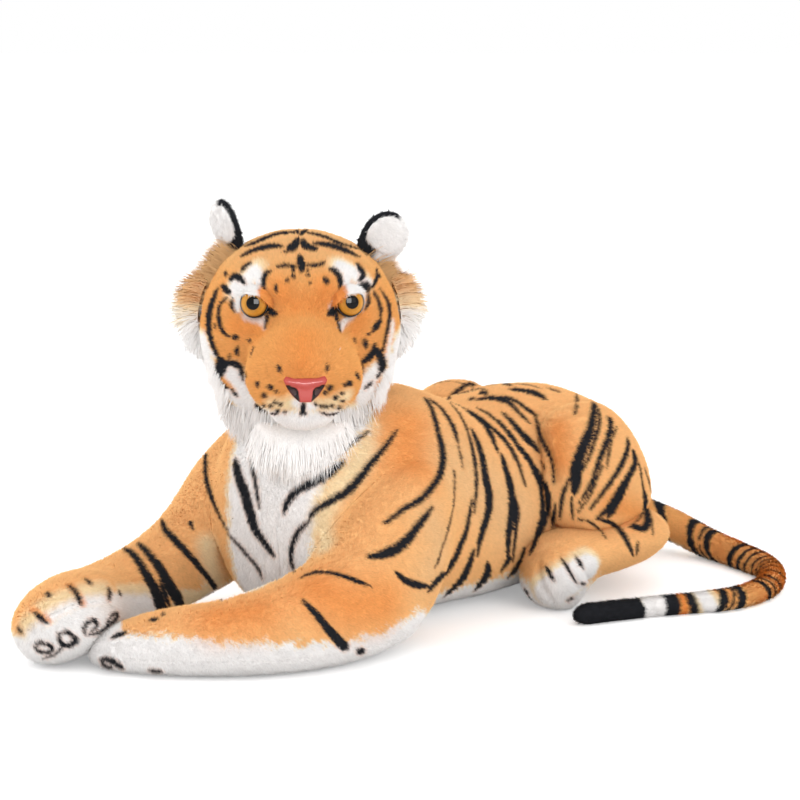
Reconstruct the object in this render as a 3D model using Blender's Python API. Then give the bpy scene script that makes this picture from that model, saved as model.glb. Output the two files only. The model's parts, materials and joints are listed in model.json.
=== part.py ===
"""Plush tiger lying down with its head turned to its left, as the pieces it is sewn and fitted from.

Metres, +Z up, with the origin on the floor under the belly. The tiger faces -Y and its left side is +X.
"""

import math

import bmesh
import bpy
import numpy as np
from mathutils import Matrix, Quaternion, Vector
from mathutils.bvhtree import BVHTree

MM = 0.001

# Thickness of the fabric with its pile pressed flat, and the clearances between pieces
FABRIC = 2.2 * MM
GAP = 0.3 * MM
SWING_GAP = 0.5 * MM
FLAT_DEPTH = 0.5 * MM
OVERRUN = 40 * MM

# Torso
TORSO_LENGTH = 340 * MM
TORSO_WIDTH = 150 * MM
TORSO_HEIGHT = 160 * MM
TORSO_FRONT_Y = -190 * MM
BELLY_SEAM_HEIGHT = 12 * MM

# Stations of a body form: place across, place along, height of its underside, half width, half height
TORSO_SHARES = [
    (0, 0.000, 0.50, 0.00, 0.00),
    (0, 0.006, 0.30, 0.16, 0.20),
    (0, 0.030, 0.16, 0.31, 0.34),
    (0, 0.080, 0.08, 0.42, 0.42),
    (0, 0.160, 0.04, 0.47, 0.47),
    (0, 0.260, 0.00, 0.50, 0.50),
    (0, 0.370, 0.00, 0.49, 0.48),
    (0, 0.470, 0.00, 0.46, 0.43),
    (0, 0.560, 0.00, 0.45, 0.42),
    (0, 0.700, 0.02, 0.46, 0.43),
    (0, 0.810, 0.02, 0.45, 0.415),
    (0, 0.900, 0.03, 0.40, 0.34),
    (0, 0.970, 0.08, 0.28, 0.24),
    (0, 1.000, 0.30, 0.00, 0.00),
]

# Forelegs: the left one lies across the front, the right one reaches ahead and turns its sole out
FORELEG_SWEEP = 80 * MM
FORELEG_HEIGHT = 98 * MM
FORELEG_GIRTH = 70 * MM
FORELEG_SEAM_HEIGHT = 14 * MM
SHOULDER_SHARES = (0.333, 0.347)
LEFT_FORELEG_REACH = 226 * MM
LEFT_FORELEG_SHARES = [
    (0.00, 0.00, 1.00, 0.00, 0.00),
    (0.05, -0.04, 0.79, 0.20, 0.29),
    (0.14, -0.12, 0.51, 0.37, 0.54),
    (0.24, -0.22, 0.25, 0.44, 0.64),
    (0.33, -0.33, 0.03, 0.46, 0.64),
    (0.34, -0.47, 0.00, 0.44, 0.50),
    (0.26, -0.62, 0.00, 0.40, 0.41),
    (0.04, -0.75, 0.00, 0.37, 0.33),
    (-0.24, -0.855, 0.00, 0.36, 0.29),
    (-0.52, -0.92, 0.00, 0.37, 0.24),
    (-0.77, -0.95, 0.00, 0.34, 0.17),
    (-0.91, -0.97, 0.03, 0.20, 0.11),
    (-0.97, -0.97, 0.10, 0.00, 0.00),
]
RIGHT_FORELEG_REACH = 250 * MM
RIGHT_FORELEG_SHARES = [
    (0.00, -0.02, 1.40, 0.00, 0.00, 0.00),
    (-0.04, -0.06, 1.10, 0.22, 0.29, 0.00),
    (-0.14, -0.17, 0.74, 0.42, 0.48, 0.00),
    (-0.25, -0.28, 0.42, 0.49, 0.52, 0.00),
    (-0.32, -0.38, 0.18, 0.46, 0.46, 0.00),
    (-0.36, -0.50, 0.08, 0.41, 0.38, 0.00),
    (-0.33, -0.63, 0.03, 0.39, 0.34, 0.05),
    (-0.21, -0.77, 0.00, 0.41, 0.34, 0.15),
    (0.02, -0.885, 0.03, 0.46, 0.36, 0.30),
    (0.23, -0.97, 0.04, 0.46, 0.34, 0.40),
    (0.37, -1.01, 0.09, 0.34, 0.26, 0.40),
    (0.43, -1.025, 0.17, 0.17, 0.14, 0.40),
    (0.45, -1.03, 0.27, 0.00, 0.00, 0.40),
]
RIGHT_SOLE_FACING_SHARES = (0.74, -0.10, -0.66)
RIGHT_SOLE_OFFSET = 17 * MM
PAW_STATION = 9

# Hind legs, mirrored: a big thigh against the flank, over a lower leg folded forwards
THIGH_LENGTH = 112 * MM
THIGH_WIDTH = 68 * MM
THIGH_HEIGHT = 112 * MM
THIGH_AT_SHARES = (0.427, 0.75)
THIGH_SHARES = [
    (-0.08, 0.51, 0.56, 0.00, 0.00),
    (-0.08, 0.47, 0.44, 0.20, 0.13),
    (-0.07, 0.35, 0.32, 0.34, 0.26),
    (-0.02, 0.15, 0.27, 0.46, 0.38),
    (0.02, -0.08, 0.27, 0.50, 0.48),
    (0.00, -0.28, 0.37, 0.44, 0.42),
    (-0.03, -0.40, 0.49, 0.29, 0.28),
    (-0.04, -0.465, 0.65, 0.15, 0.13),
    (-0.04, -0.48, 0.78, 0.00, 0.00),
]
HIND_LEG_LENGTH = 136 * MM
HIND_LEG_SPREAD = 24 * MM
HIND_LEG_GIRTH = 54 * MM
HIND_SEAM_HEIGHT = 10 * MM
HIND_LEG_AT_SHARES = (0.387, 0.935)
HIND_LEG_SHARES = [
    (0.00, 0.00, 0.50, 0.00, 0.00),
    (0.15, -0.03, 0.22, 0.26, 0.30),
    (0.46, -0.13, 0.03, 0.43, 0.50),
    (0.80, -0.29, 0.00, 0.46, 0.51),
    (0.90, -0.47, 0.00, 0.45, 0.49),
    (0.90, -0.62, 0.00, 0.46, 0.49),
    (0.90, -0.75, 0.00, 0.49, 0.50),
    (0.90, -0.87, 0.00, 0.47, 0.47),
    (0.90, -0.96, 0.13, 0.33, 0.33),
    (0.90, -1.00, 0.45, 0.00, 0.00),
]

# Tail: from its root on the rump, down to the floor and forwards beside the hind foot
TAIL_SPREAD = 160 * MM
TAIL_REACH = 160 * MM
TAIL_ROOT_RADIUS = 14 * MM
TAIL_ROOT_LIFT = 18 * MM
TAIL_SEAT_DEPTH = 1 * MM
TAIL_TIP_LENGTH = 50 * MM
TAIL_SHARES = [
    (0.00, -0.0875, 1.78, 0.00, 0.00),
    (0.00, -0.060, 1.22, 0.72, 0.72),
    (0.00, 0.00, 1.00, 1.00, 1.00),
    (0.05, 0.12, 0.95, 0.98, 0.98),
    (0.17, 0.24, 0.58, 0.88, 0.88),
    (0.38, 0.28, 0.08, 0.78, 0.78),
    (0.62, 0.24, 0.00, 0.70, 0.70),
    (0.83, 0.17, 0.00, 0.63, 0.63),
    (0.975, 0.00, 0.00, 0.59, 0.59),
    (1.035, -0.20, 0.00, 0.57, 0.57),
    (1.015, -0.38, 0.00, 0.54, 0.54),
    (0.93, -0.54, 0.00, 0.51, 0.51),
    (0.86, -0.70, 0.00, 0.49, 0.49),
    (0.80, -0.86, 0.00, 0.50, 0.50),
    (0.765, -0.96, 0.00, 0.49, 0.49),
    (0.75, -1.00, 0.14, 0.30, 0.30),
    (0.745, -1.01, 0.36, 0.00, 0.00),
]

# Head, in its own frame: the face looks along -Y. Its stations give centres, not undersides
HEAD_WIDTH = 127 * MM
HEAD_DEPTH = 116 * MM
HEAD_HEIGHT = 128 * MM
HEAD_TURN = math.radians(52.5)
HEAD_AT_SHARES = (-0.02, 0.138, 1.25)
HEAD_SHARES = [
    (0, 0.500, 0.04, 0.00, 0.00),
    (0, 0.465, 0.04, 0.22, 0.20),
    (0, 0.360, 0.04, 0.37, 0.36),
    (0, 0.180, 0.03, 0.47, 0.46),
    (0, -0.020, 0.01, 0.50, 0.50),
    (0, -0.200, 0.00, 0.49, 0.49),
    (0, -0.340, -0.01, 0.43, 0.45),
    (0, -0.440, -0.02, 0.32, 0.35),
    (0, -0.490, -0.03, 0.17, 0.18),
    (0, -0.500, -0.03, 0.00, 0.00),
]
MUZZLE_WIDTH = 72 * MM
MUZZLE_DEPTH = 76 * MM
MUZZLE_HEIGHT = 60 * MM
MUZZLE_AT_SHARES = (0, -0.53, -0.11)
MUZZLE_SHARES = [
    (0, 0.60, 0.20, 0.00, 0.00),
    (0, 0.50, 0.20, 0.22, 0.32),
    (0, 0.20, 0.10, 0.40, 0.48),
    (0, -0.08, 0.02, 0.48, 0.52),
    (0, -0.28, -0.04, 0.49, 0.47),
    (0, -0.41, -0.09, 0.42, 0.37),
    (0, -0.48, -0.12, 0.27, 0.22),
    (0, -0.50, -0.13, 0.00, 0.00),
]
CHIN_WIDTH = 40 * MM
CHIN_DEPTH = 54 * MM
CHIN_HEIGHT = 22 * MM
CHIN_AT_SHARES = (0, -0.54, -0.33)
CHIN_SHARES = [
    (0, 0.50, 0.00, 0.00, 0.00),
    (0, 0.42, 0.00, 0.30, 0.36),
    (0, 0.14, 0.00, 0.48, 0.50),
    (0, -0.20, 0.04, 0.50, 0.50),
    (0, -0.42, 0.12, 0.32, 0.36),
    (0, -0.50, 0.16, 0.00, 0.00),
]

# Long-pile strips round the cheeks and under the chin, at shares of the head's size
RUFF_WIDTH = 24 * MM
RUFF_THICKNESS = 26 * MM
CHEEK_RUFF_SHARES = [
    (0.44, -0.02, 0.29, 0.00, 0.00),
    (0.46, -0.02, 0.26, 0.25, 0.30),
    (0.49, -0.02, 0.17, 0.45, 0.50),
    (0.505, -0.03, 0.04, 0.50, 0.50),
    (0.49, -0.06, -0.14, 0.50, 0.50),
    (0.43, -0.14, -0.31, 0.45, 0.45),
    (0.34, -0.26, -0.42, 0.25, 0.30),
    (0.31, -0.30, -0.45, 0.00, 0.00),
]
THROAT_RUFF_SHARES = [
    (0.27, -0.35, -0.47, 0.00, 0.00),
    (0.25, -0.36, -0.48, 0.25, 0.30),
    (0.13, -0.42, -0.52, 0.45, 0.45),
    (0.00, -0.44, -0.53, 0.50, 0.50),
    (-0.13, -0.42, -0.52, 0.45, 0.45),
    (-0.25, -0.36, -0.48, 0.25, 0.30),
    (-0.27, -0.35, -0.47, 0.00, 0.00),
]

# Ears, each in the frame of its hinge: X along its root, Z up it, and its lining towards -Y
EAR_WIDTH = 34 * MM
EAR_HEIGHT = 31 * MM
EAR_THICKNESS = 6 * MM
EAR_LINING_THICKNESS = 5 * MM
EAR_CUP = 4 * MM
EAR_SHARES = [
    (0, 0, -0.100, 0.00, 0.00),
    (0, 0, -0.070, 0.34, 0.38),
    (0, 0, 0.060, 0.40, 0.50),
    (0, 0, 0.300, 0.48, 0.46),
    (0, 0, 0.560, 0.50, 0.42),
    (0, 0, 0.780, 0.41, 0.38),
    (0, 0, 0.930, 0.25, 0.32),
    (0, 0, 0.990, 0.11, 0.22),
    (0, 0, 1.000, 0.00, 0.00),
]
EAR_LINING_SHARES = [
    (0, -0.5, 0.08, 0.00, 0.00),
    (0, -0.5, 0.11, 0.24, 0.30),
    (0, -0.5, 0.26, 0.38, 0.50),
    (0, -0.5, 0.52, 0.42, 0.50),
    (0, -0.5, 0.74, 0.34, 0.46),
    (0, -0.5, 0.88, 0.18, 0.34),
    (0, -0.5, 0.92, 0.00, 0.00),
]
EAR_AT_SHARES = {"left": (0.37, -0.02, 0.385), "right": (-0.345, 0.03, 0.40)}
EAR_YAW = {"left": math.radians(18), "right": math.radians(-58)}
EAR_LEAN = {"left": math.radians(36), "right": math.radians(-14)}

# Eyes and nose: moulded plastic, held by a stem through the fabric and a washer inside
EYE_SIZE = 18 * MM
EYE_RISE = 5.5 * MM
EYE_STAND = 2 * MM
EYE_PLACE_SHARES = (0.232, -0.48, 0.19)
EYE_FACING_SHARES = (0.20, -0.95, 0.15)
NOSE_WIDTH = 27 * MM
NOSE_HEIGHT = 17 * MM
NOSE_RISE = 5 * MM
NOSE_PLACE_SHARES = (0, -0.85, -0.18)
NOSE_SHARES = [
    (0.28, 0.44),
    (0.44, 0.50),
    (0.50, 0.36),
    (0.42, 0.06),
    (0.30, -0.22),
    (0.14, -0.46),
]
NOSE_STEP_SHARES = [(0, 1.0), (0.6, 1.0), (0.9, 0.86), (1.0, 0.6)]
NOSTRIL_SIZE = 6 * MM
NOSTRIL_DEPTH = 1.5 * MM
NOSTRIL_SHARES = (0.29, -0.10)
STEM_RADIUS = 2.2 * MM
STEM_PAST_WASHER = 2 * MM
WASHER_RADIUS = 7 * MM
WASHER_THICKNESS = 1.6 * MM

# Steps along each form, and steps round it
TORSO_STEPS = (19, 20)
HEAD_STEPS = (15, 18)
MUZZLE_STEPS = (11, 14)
CHIN_STEPS = (7, 10)
FORELEG_STEPS = (19, 12)
THIGH_STEPS = (11, 12)
HIND_LEG_STEPS = (11, 12)
TAIL_STEPS = (37, 8)
RUFF_STEPS = (9, 8)
EAR_STEPS = (7, 12)
ROUND_SIDES = 20
DOME_STEPS = 5
SEAT_TRIES = 20
FULL_POWER = 2.3
SOFT_POWER = 2.1


def spline(rows, count):
    """A smooth curve through the rows, read at count even steps."""
    rows = np.array(rows, float)
    ends = [2 * rows[0] - rows[1], *rows, 2 * rows[-1] - rows[-2]]
    spans = len(rows) - 1
    out = []
    for i in range(count):
        t = i / (count - 1) * spans
        k = min(int(t), spans - 1)
        f = t - k
        a, b, c, d = ends[k : k + 4]
        out.append(
            b
            + 0.5 * (c - a) * f
            + (a - 2.5 * b + 2 * c - 0.5 * d) * f**2
            + (1.5 * b - 0.5 * a - 1.5 * c + 0.5 * d) * f**3
        )
    return out


def centred(shares, place, size, girth):
    """Stations whose centres are shares of size from place, with half widths and heights in shares of girth.

    A sixth number, where there is one, is the roll that lowers the side on the right of the way along.
    """
    place, size = np.array(place), np.array(size)
    centres = [place + np.array(row[:3]) * size for row in shares]
    return [(*at, row[3] * girth[0], row[4] * girth[1], *row[5:]) for at, row in zip(centres, shares)]


def resting(shares, place, size, girth, floor_z=0.0):
    """Stations whose third share is the height of the underside, sunk by what the floor cuts flat."""
    rows = [(*row[:2], row[2] + row[4] * girth[1] / size[2], *row[3:]) for row in shares]
    return centred(rows, (*place, floor_z - FLAT_DEPTH), size, girth)


def mirrored(shares, side):
    return [(side * row[0], *row[1:]) for row in shares]


def loft(stations, rings, sides, power=2.0, upward=(0, 0, 1)):
    """A closed bmesh of rings round the stations' curve, with a pole at each end."""
    rows = spline(stations, rings + 2)
    corners = []
    for k in range(sides):
        turn = 2 * math.pi * k / sides
        c, s = math.cos(turn), math.sin(turn)
        corners.append((math.copysign(abs(c) ** (2 / power), c), math.copysign(abs(s) ** (2 / power), s)))
    bm = bmesh.new()
    loops = []
    for before, row, after in zip(rows, rows[1:], rows[2:]):
        ahead = Vector(after[:3] - before[:3]).normalized()
        side = ahead.cross(Vector(upward)).normalized()
        if len(row) > 5:
            side.rotate(Quaternion(ahead, row[5]))
        up = side.cross(ahead)
        centre = Vector(row[:3])
        loops.append([bm.verts.new(centre + side * c * row[3] + up * s * row[4]) for c, s in corners])
    join(bm, loops)
    for loop, end in ((loops[0], rows[0]), (loops[-1], rows[-1])):
        pole = bm.verts.new(Vector(end[:3]))
        for k in range(sides):
            bm.faces.new((loop[k], loop[k - 1], pole))
    bmesh.ops.recalc_face_normals(bm, faces=bm.faces)
    bmesh.ops.triangulate(bm, faces=bm.faces, quad_method="FIXED")
    return bm


def join(bm, loops):
    """Faces between each loop of vertices and the next."""
    for one, two in zip(loops, loops[1:]):
        for k in range(len(one)):
            bm.faces.new((one[k], one[k - 1], two[k - 1], two[k]))


def form(stations, counts, power=2.0, upward=(0, 0, 1)):
    """A function that gives the form's bmesh, grown by a clearance or shrunk by a wall."""

    def made(by=0.0):
        bm = loft(stations, *counts, power, upward)
        bm.normal_update()
        for vert, out in [(vert, vert.normal * vert.calc_shell_factor()) for vert in bm.verts]:
            vert.co += out * by
        return bm

    return made


def turned(profile, ring=False):
    """A closed bmesh of (radius, y) points turned round Y, capped at its ends or joined into a ring."""
    bm = bmesh.new()
    loops = []
    for radius, y in profile:
        turns = [2 * math.pi * k / ROUND_SIDES for k in range(ROUND_SIDES)]
        loops.append([bm.verts.new((radius * math.cos(t), y, radius * math.sin(t))) for t in turns])
    if ring:
        loops.append(loops[0])
    join(bm, loops)
    if not ring:
        bm.faces.new(loops[0])
        bm.faces.new(loops[-1])
    bmesh.ops.recalc_face_normals(bm, faces=bm.faces)
    return bm


def bar(radius, start, end):
    return turned([(radius, start), (radius, end)])


def prism(outline, steps):
    """A closed bmesh of an outline in X and Z, run through steps of (y, scale)."""
    bm = bmesh.new()
    loops = [[bm.verts.new((x * scale, y, z * scale)) for x, z in outline] for y, scale in steps]
    join(bm, loops)
    bm.faces.new(loops[0])
    bm.faces.new(loops[-1])
    bmesh.ops.recalc_face_normals(bm, faces=bm.faces)
    return bm


def ball(radius):
    """A sphere whose flats lie outside the radius."""
    bm = bmesh.new()
    corner = radius / math.cos(math.pi / ROUND_SIDES) ** 2
    bmesh.ops.create_uvsphere(bm, u_segments=ROUND_SIDES, v_segments=ROUND_SIDES, radius=corner)
    return bm


def block(side, height):
    """A box that stands on the origin."""
    bm = bmesh.new()
    bmesh.ops.create_cube(bm, size=1)
    bmesh.ops.translate(bm, verts=bm.verts, vec=(0, 0, 0.5))
    bmesh.ops.scale(bm, vec=(side, side, height), verts=bm.verts)
    return bm


def surface(made):
    """The tree of a bmesh, to find places on it."""
    tree = BVHTree.FromBMesh(made)
    made.free()
    return tree


def colour(hex_code):
    """An sRGB hex code as linear RGBA."""
    parts = [int(hex_code[k : k + 2], 16) / 255 for k in (1, 3, 5)]
    return [c / 12.92 if c <= 0.04045 else ((c + 0.055) / 1.055) ** 2.4 for c in parts] + [1]


def material(name, hex_code, roughness, alpha=1.0):
    made = bpy.data.materials.new(name)
    made.use_nodes = True
    shader = made.node_tree.nodes["Principled BSDF"]
    shader.inputs["Base Color"].default_value = colour(hex_code)
    shader.inputs["Roughness"].default_value = roughness
    shader.inputs["Alpha"].default_value = alpha
    return made


def add(name, bm, finish=None, parent=None):
    """An object of the bmesh, in its parent's frame."""
    mesh = bpy.data.meshes.new(name)
    bm.to_mesh(mesh)
    bm.free()
    mesh.shade_smooth()
    if finish:
        mesh.materials.append(finish)
    obj = bpy.data.objects.new(name, mesh)
    obj.parent = parent
    bpy.context.scene.collection.objects.link(obj)
    return obj


def helper(name, bm, parent=None, frame=None):
    """A hidden shape that cuts or joins others."""
    obj = add(name, bm, parent=parent)
    obj.hide_render = True
    obj.display_type = "WIRE"
    if frame:
        obj.matrix_local = frame
    return obj


def combine(obj, others, operation="DIFFERENCE"):
    for other in others:
        change = obj.modifiers.new(other.name, "BOOLEAN")
        change.operation = operation
        change.object = other


def empty(name, frame, parent=None):
    obj = bpy.data.objects.new(name, None)
    obj.parent = parent
    obj.matrix_local = frame
    bpy.context.scene.collection.objects.link(obj)
    return obj


def frame_at(place, outward):
    """A frame at a place on a surface, with -Y pointing outward and Z as near up as it can be."""
    return Matrix.Translation(place) @ Vector(outward).to_track_quat("-Y", "Z").to_matrix().to_4x4()


def halves(name, place, facing, parent=None):
    """Cutters for what lies beyond a seam plane and behind it, each with half the clearance past it."""
    made = []
    for word, way in (("beyond", Vector(facing)), ("behind", -Vector(facing))):
        tilt = way.to_track_quat("Z", "Y").to_matrix().to_4x4()
        frame = Matrix.Translation(place) @ tilt @ Matrix.Translation((0, 0, -GAP / 2))
        made.append(helper(f"{name}_{word}", block(2 * TORSO_LENGTH, TORSO_LENGTH), parent, frame))
    return made


def piece(name, shape, finish, cutters, parent=None):
    """A stuffed piece, cut by what it is sewn against."""
    combine(add(name, shape(), finish, parent), cutters)


def fallen(tree, frame, points):
    """How far in from the frame's plane the surface lies behind each point of that plane."""
    inward = frame.to_3x3() @ Vector((0, 1, 0))
    start = Vector((0, -OVERRUN, 0))
    return [tree.ray_cast(frame @ (Vector(point) + start), inward)[3] - OVERRUN for point in points]


def circle(radius):
    turns = [2 * math.pi * k / ROUND_SIDES for k in range(ROUND_SIDES)]
    return [(radius * math.cos(turn), 0, radius * math.sin(turn)) for turn in turns]


def seated(tree, place, facing):
    """The frame where a piece that comes in against its facing meets the surface."""
    facing = Vector(facing).normalized()
    return frame_at(tree.ray_cast(Vector(place) + facing * OVERRUN, -facing)[0], facing)


def moulded(name, body, finish, back, holder, shape, frame):
    """A plastic piece seated on a stuffed one, with its stem through the fabric and a washer behind it."""
    place = empty(f"{name}_place", frame, HEAD_FRAME)
    start = max(fallen(surface(shape(-FABRIC)), frame, circle(WASHER_RADIUS))) + GAP
    end = start + WASHER_THICKNESS + STEM_PAST_WASHER
    obj = add(name, body, finish, place)
    combine(obj, [helper(f"{name}_room", shape(GAP), HEAD_FRAME)])
    combine(obj, [helper(f"{name}_stem", bar(STEM_RADIUS, -back, end), place)], "UNION")
    profile = [(STEM_RADIUS + GAP, start), (WASHER_RADIUS, start)]
    profile += [(radius, y + WASHER_THICKNESS) for radius, y in reversed(profile)]
    add(f"{name}_washer", turned(profile, ring=True), WASHER_PLASTIC, place)
    hole = helper(f"{name}_hole", bar(STEM_RADIUS + GAP, -OVERRUN, end), place)
    pocket = helper(f"{name}_pocket", bar(WASHER_RADIUS + GAP, start - GAP, end + GAP), place)
    combine(bpy.data.objects[holder], [hole, pocket])
    return place


def along(share):
    return TORSO_FRONT_Y + share * TORSO_LENGTH


def limb(shares, side, at_shares, size, girth, counts):
    place = (side * at_shares[0] * TORSO_WIDTH, along(at_shares[1]))
    return form(resting(shares, place, size, (girth, girth)), counts, FULL_POWER)


def panelled(name, panel, shape, cutters, seam_at, seam_facing, finishes=None, parent=None):
    """A stuffed piece in two at its seam plane, the panel beyond it."""
    beyond, behind = halves(f"{name}_seam", seam_at, seam_facing, parent)
    finishes = finishes or (ORANGE_PLUSH, WHITE_PLUSH)
    piece(name, shape, finishes[0], [*cutters, beyond], parent)
    piece(panel, shape, finishes[1], [*cutters, behind], parent)


def bent(shape, by=0.0):
    """An ear layer curled forwards, more towards its sides and its tip."""
    bm = shape(by)
    for vert in bm.verts:
        rise = min(max(vert.co.z / EAR_HEIGHT, 0), 1)
        vert.co.y -= EAR_CUP * rise * (2 * vert.co.x / EAR_WIDTH) ** 2
    return bm


def ear(side_name, tree):
    """An ear on its hinge line, let down until its rounded root just clears the head."""
    size = (EAR_WIDTH, EAR_LINING_THICKNESS, EAR_HEIGHT)
    back_rows = centred(EAR_SHARES, (0, 0, 0), size, (EAR_WIDTH, EAR_THICKNESS))
    lining_rows = centred(EAR_LINING_SHARES, (0, 0, 0), size, (EAR_WIDTH, EAR_LINING_THICKNESS))
    back = form(back_rows, EAR_STEPS, upward=(0, 1, 0))
    lining = form(lining_rows, EAR_STEPS, upward=(0, 1, 0))
    turn = Matrix.Rotation(EAR_LEAN[side_name], 4, "Y") @ Matrix.Rotation(EAR_YAW[side_name], 4, "Z")
    spot = Vector(EAR_AT_SHARES[side_name]) * Vector(HEAD_SIZE)
    start = Matrix.Translation(tree.find_nearest(spot)[0]) @ turn
    shape = bent(back)
    points = [vert.co.copy() for vert in shape.verts]
    shape.free()
    lift = EAR_HEIGHT
    for _ in range(SEAT_TRIES):
        frame = start @ Matrix.Translation((0, 0, lift))
        lift -= min(tree.find_nearest(frame @ point)[3] for point in points) - SWING_GAP
    hinge = empty(f"{side_name}_ear_hinge", frame, HEAD_FRAME)
    add(f"{side_name}_ear_back", bent(back), ORANGE_PLUSH, hinge)
    front = add(f"{side_name}_ear_lining", bent(lining), WHITE_PLUSH, hinge)
    combine(front, [helper(f"{side_name}_ear_room", bent(back, GAP), hinge)])


for old in list(bpy.data.objects):
    bpy.data.objects.remove(old)

ORANGE_PLUSH = material("orange_plush", "#CF8A4C", 0.9)
WHITE_PLUSH = material("white_plush", "#E9E4E1", 0.9)
BLACK_PLUSH = material("black_plush", "#2B2C30", 0.9)
LONG_PILE = material("long_pile", "#E6D9CD", 0.9)
AMBER_PLASTIC = material("amber_plastic", "#C98A2E", 0.1, alpha=0.5)
BLACK_PLASTIC = material("black_plastic", "#141414", 0.3)
PINK_PLASTIC = material("pink_plastic", "#D4736B", 0.35)
WASHER_PLASTIC = material("washer_plastic", "#DCDCD6", 0.5)

TORSO_SIZE = (TORSO_WIDTH, TORSO_LENGTH, TORSO_HEIGHT)
HEAD_SIZE = (HEAD_WIDTH, HEAD_DEPTH, HEAD_HEIGHT)
HEAD_AT = (HEAD_AT_SHARES[0] * TORSO_WIDTH, along(HEAD_AT_SHARES[1]), HEAD_AT_SHARES[2] * TORSO_HEIGHT)
HEAD_FRAME = empty("head_frame", Matrix.Translation(HEAD_AT) @ Matrix.Rotation(HEAD_TURN, 4, "Z"))
FLOOR = helper("floor", block(2 * TORSO_LENGTH, OVERRUN), frame=Matrix.Translation((0, 0, -OVERRUN)))

# Torso with its belly panel, and a shallow seat for the tail's root
torso_rows = resting(TORSO_SHARES, (0, TORSO_FRONT_Y), TORSO_SIZE, (TORSO_WIDTH, TORSO_HEIGHT))
torso = form(torso_rows, TORSO_STEPS, FULL_POWER)
torso_room = helper("torso_room", torso(GAP))
torso_tree = surface(torso())
tail_height = TAIL_ROOT_LIFT + TAIL_ROOT_RADIUS - FLAT_DEPTH
rump = torso_tree.ray_cast(Vector((0, along(2), tail_height)), Vector((0, -1, 0)))[0]
tail_root = rump + Vector((0, TAIL_ROOT_RADIUS - TAIL_SEAT_DEPTH, 0))
tail_seat = helper("tail_seat", ball(TAIL_ROOT_RADIUS + SWING_GAP), frame=Matrix.Translation(tail_root))
panelled("torso", "belly_panel", torso, [tail_seat, FLOOR], (0, 0, BELLY_SEAM_HEIGHT), (0, 0, -1))

# Head, muzzle and chin, each cut by the bigger one before it
head = form(centred(HEAD_SHARES, (0, 0, 0), HEAD_SIZE, (HEAD_WIDTH, HEAD_HEIGHT)), HEAD_STEPS, SOFT_POWER)
head_room = helper("head_room", head(GAP), HEAD_FRAME)
head_tree = surface(head())
piece("head", head, ORANGE_PLUSH, [torso_room], HEAD_FRAME)
muzzle_size = (MUZZLE_WIDTH, MUZZLE_DEPTH, MUZZLE_HEIGHT)
muzzle_at = Vector(MUZZLE_AT_SHARES) * Vector(HEAD_SIZE)
muzzle_rows = centred(MUZZLE_SHARES, muzzle_at, muzzle_size, (MUZZLE_WIDTH, MUZZLE_HEIGHT))
muzzle = form(muzzle_rows, MUZZLE_STEPS, SOFT_POWER)
muzzle_room = helper("muzzle_room", muzzle(GAP), HEAD_FRAME)
piece("muzzle", muzzle, ORANGE_PLUSH, [head_room], HEAD_FRAME)
chin_at = Vector(CHIN_AT_SHARES) * Vector(HEAD_SIZE)
chin_size = (CHIN_WIDTH, CHIN_DEPTH, CHIN_HEIGHT)
chin = form(centred(CHIN_SHARES, chin_at, chin_size, (CHIN_WIDTH, CHIN_HEIGHT)), CHIN_STEPS)
piece("chin", chin, WHITE_PLUSH, [head_room, muzzle_room, torso_room], HEAD_FRAME)

# Ruff strips
ruff_girth = (RUFF_WIDTH, RUFF_THICKNESS)
for name, shares in (
    ("left_cheek_ruff", CHEEK_RUFF_SHARES),
    ("right_cheek_ruff", mirrored(CHEEK_RUFF_SHARES, -1)),
    ("throat_ruff", THROAT_RUFF_SHARES),
):
    ruff = form(centred(shares, (0, 0, 0), HEAD_SIZE, ruff_girth), RUFF_STEPS, upward=(0, 1, 0))
    piece(name, ruff, LONG_PILE, [head_room, torso_room], HEAD_FRAME)

for side_name in ("left", "right"):
    ear(side_name, head_tree)

# Eyes: a clear dome over a black backing whose stem goes through the face
dome_radius = (EYE_SIZE**2 / 4 + EYE_RISE**2) / (2 * EYE_RISE)
dome_angle = math.asin(EYE_SIZE / 2 / dome_radius)
for side, side_name in ((1, "left"), (-1, "right")):
    facing = (side * EYE_FACING_SHARES[0], *EYE_FACING_SHARES[1:])
    spot = Vector((side * EYE_PLACE_SHARES[0], *EYE_PLACE_SHARES[1:])) * Vector(HEAD_SIZE)
    body = bar(EYE_SIZE / 2, -EYE_STAND, EYE_SIZE / 2)
    place = moulded(
        f"{side_name}_eye", body, BLACK_PLASTIC, EYE_STAND / 2, "head", head, seated(head_tree, spot, facing)
    )
    arc = [dome_angle * (1 - step / DOME_STEPS) for step in range(DOME_STEPS)]
    top = -EYE_STAND - GAP - EYE_RISE
    profile = [(dome_radius * math.sin(a), top + dome_radius * (1 - math.cos(a))) for a in arc]
    add(f"{side_name}_eye_dome", turned(profile), AMBER_PLASTIC, place)

# Nose, with two nostrils
muzzle_tree = surface(muzzle())
half_outline = [(x * NOSE_WIDTH, z * NOSE_HEIGHT) for x, z in NOSE_SHARES]
outline = half_outline + [(-x, z) for x, z in reversed(half_outline)]
steps = [(NOSE_RISE, 1)] + [(-share * NOSE_RISE, scale) for share, scale in NOSE_STEP_SHARES]
spot = Vector(NOSE_PLACE_SHARES) * Vector(HEAD_SIZE)
place = moulded(
    "nose", prism(outline, steps), PINK_PLASTIC, 0, "muzzle", muzzle, seated(muzzle_tree, spot, (0, -1, 0))
)
for side in (1, -1):
    spot = (side * NOSTRIL_SHARES[0] * NOSE_WIDTH, -NOSE_RISE, NOSTRIL_SHARES[1] * NOSE_HEIGHT)
    drill = bar(NOSTRIL_SIZE / 2, -NOSE_RISE, NOSTRIL_DEPTH)
    nostril = helper("nostril", drill, place, Matrix.Translation(spot))
    combine(bpy.data.objects["nose"], [nostril])

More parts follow.
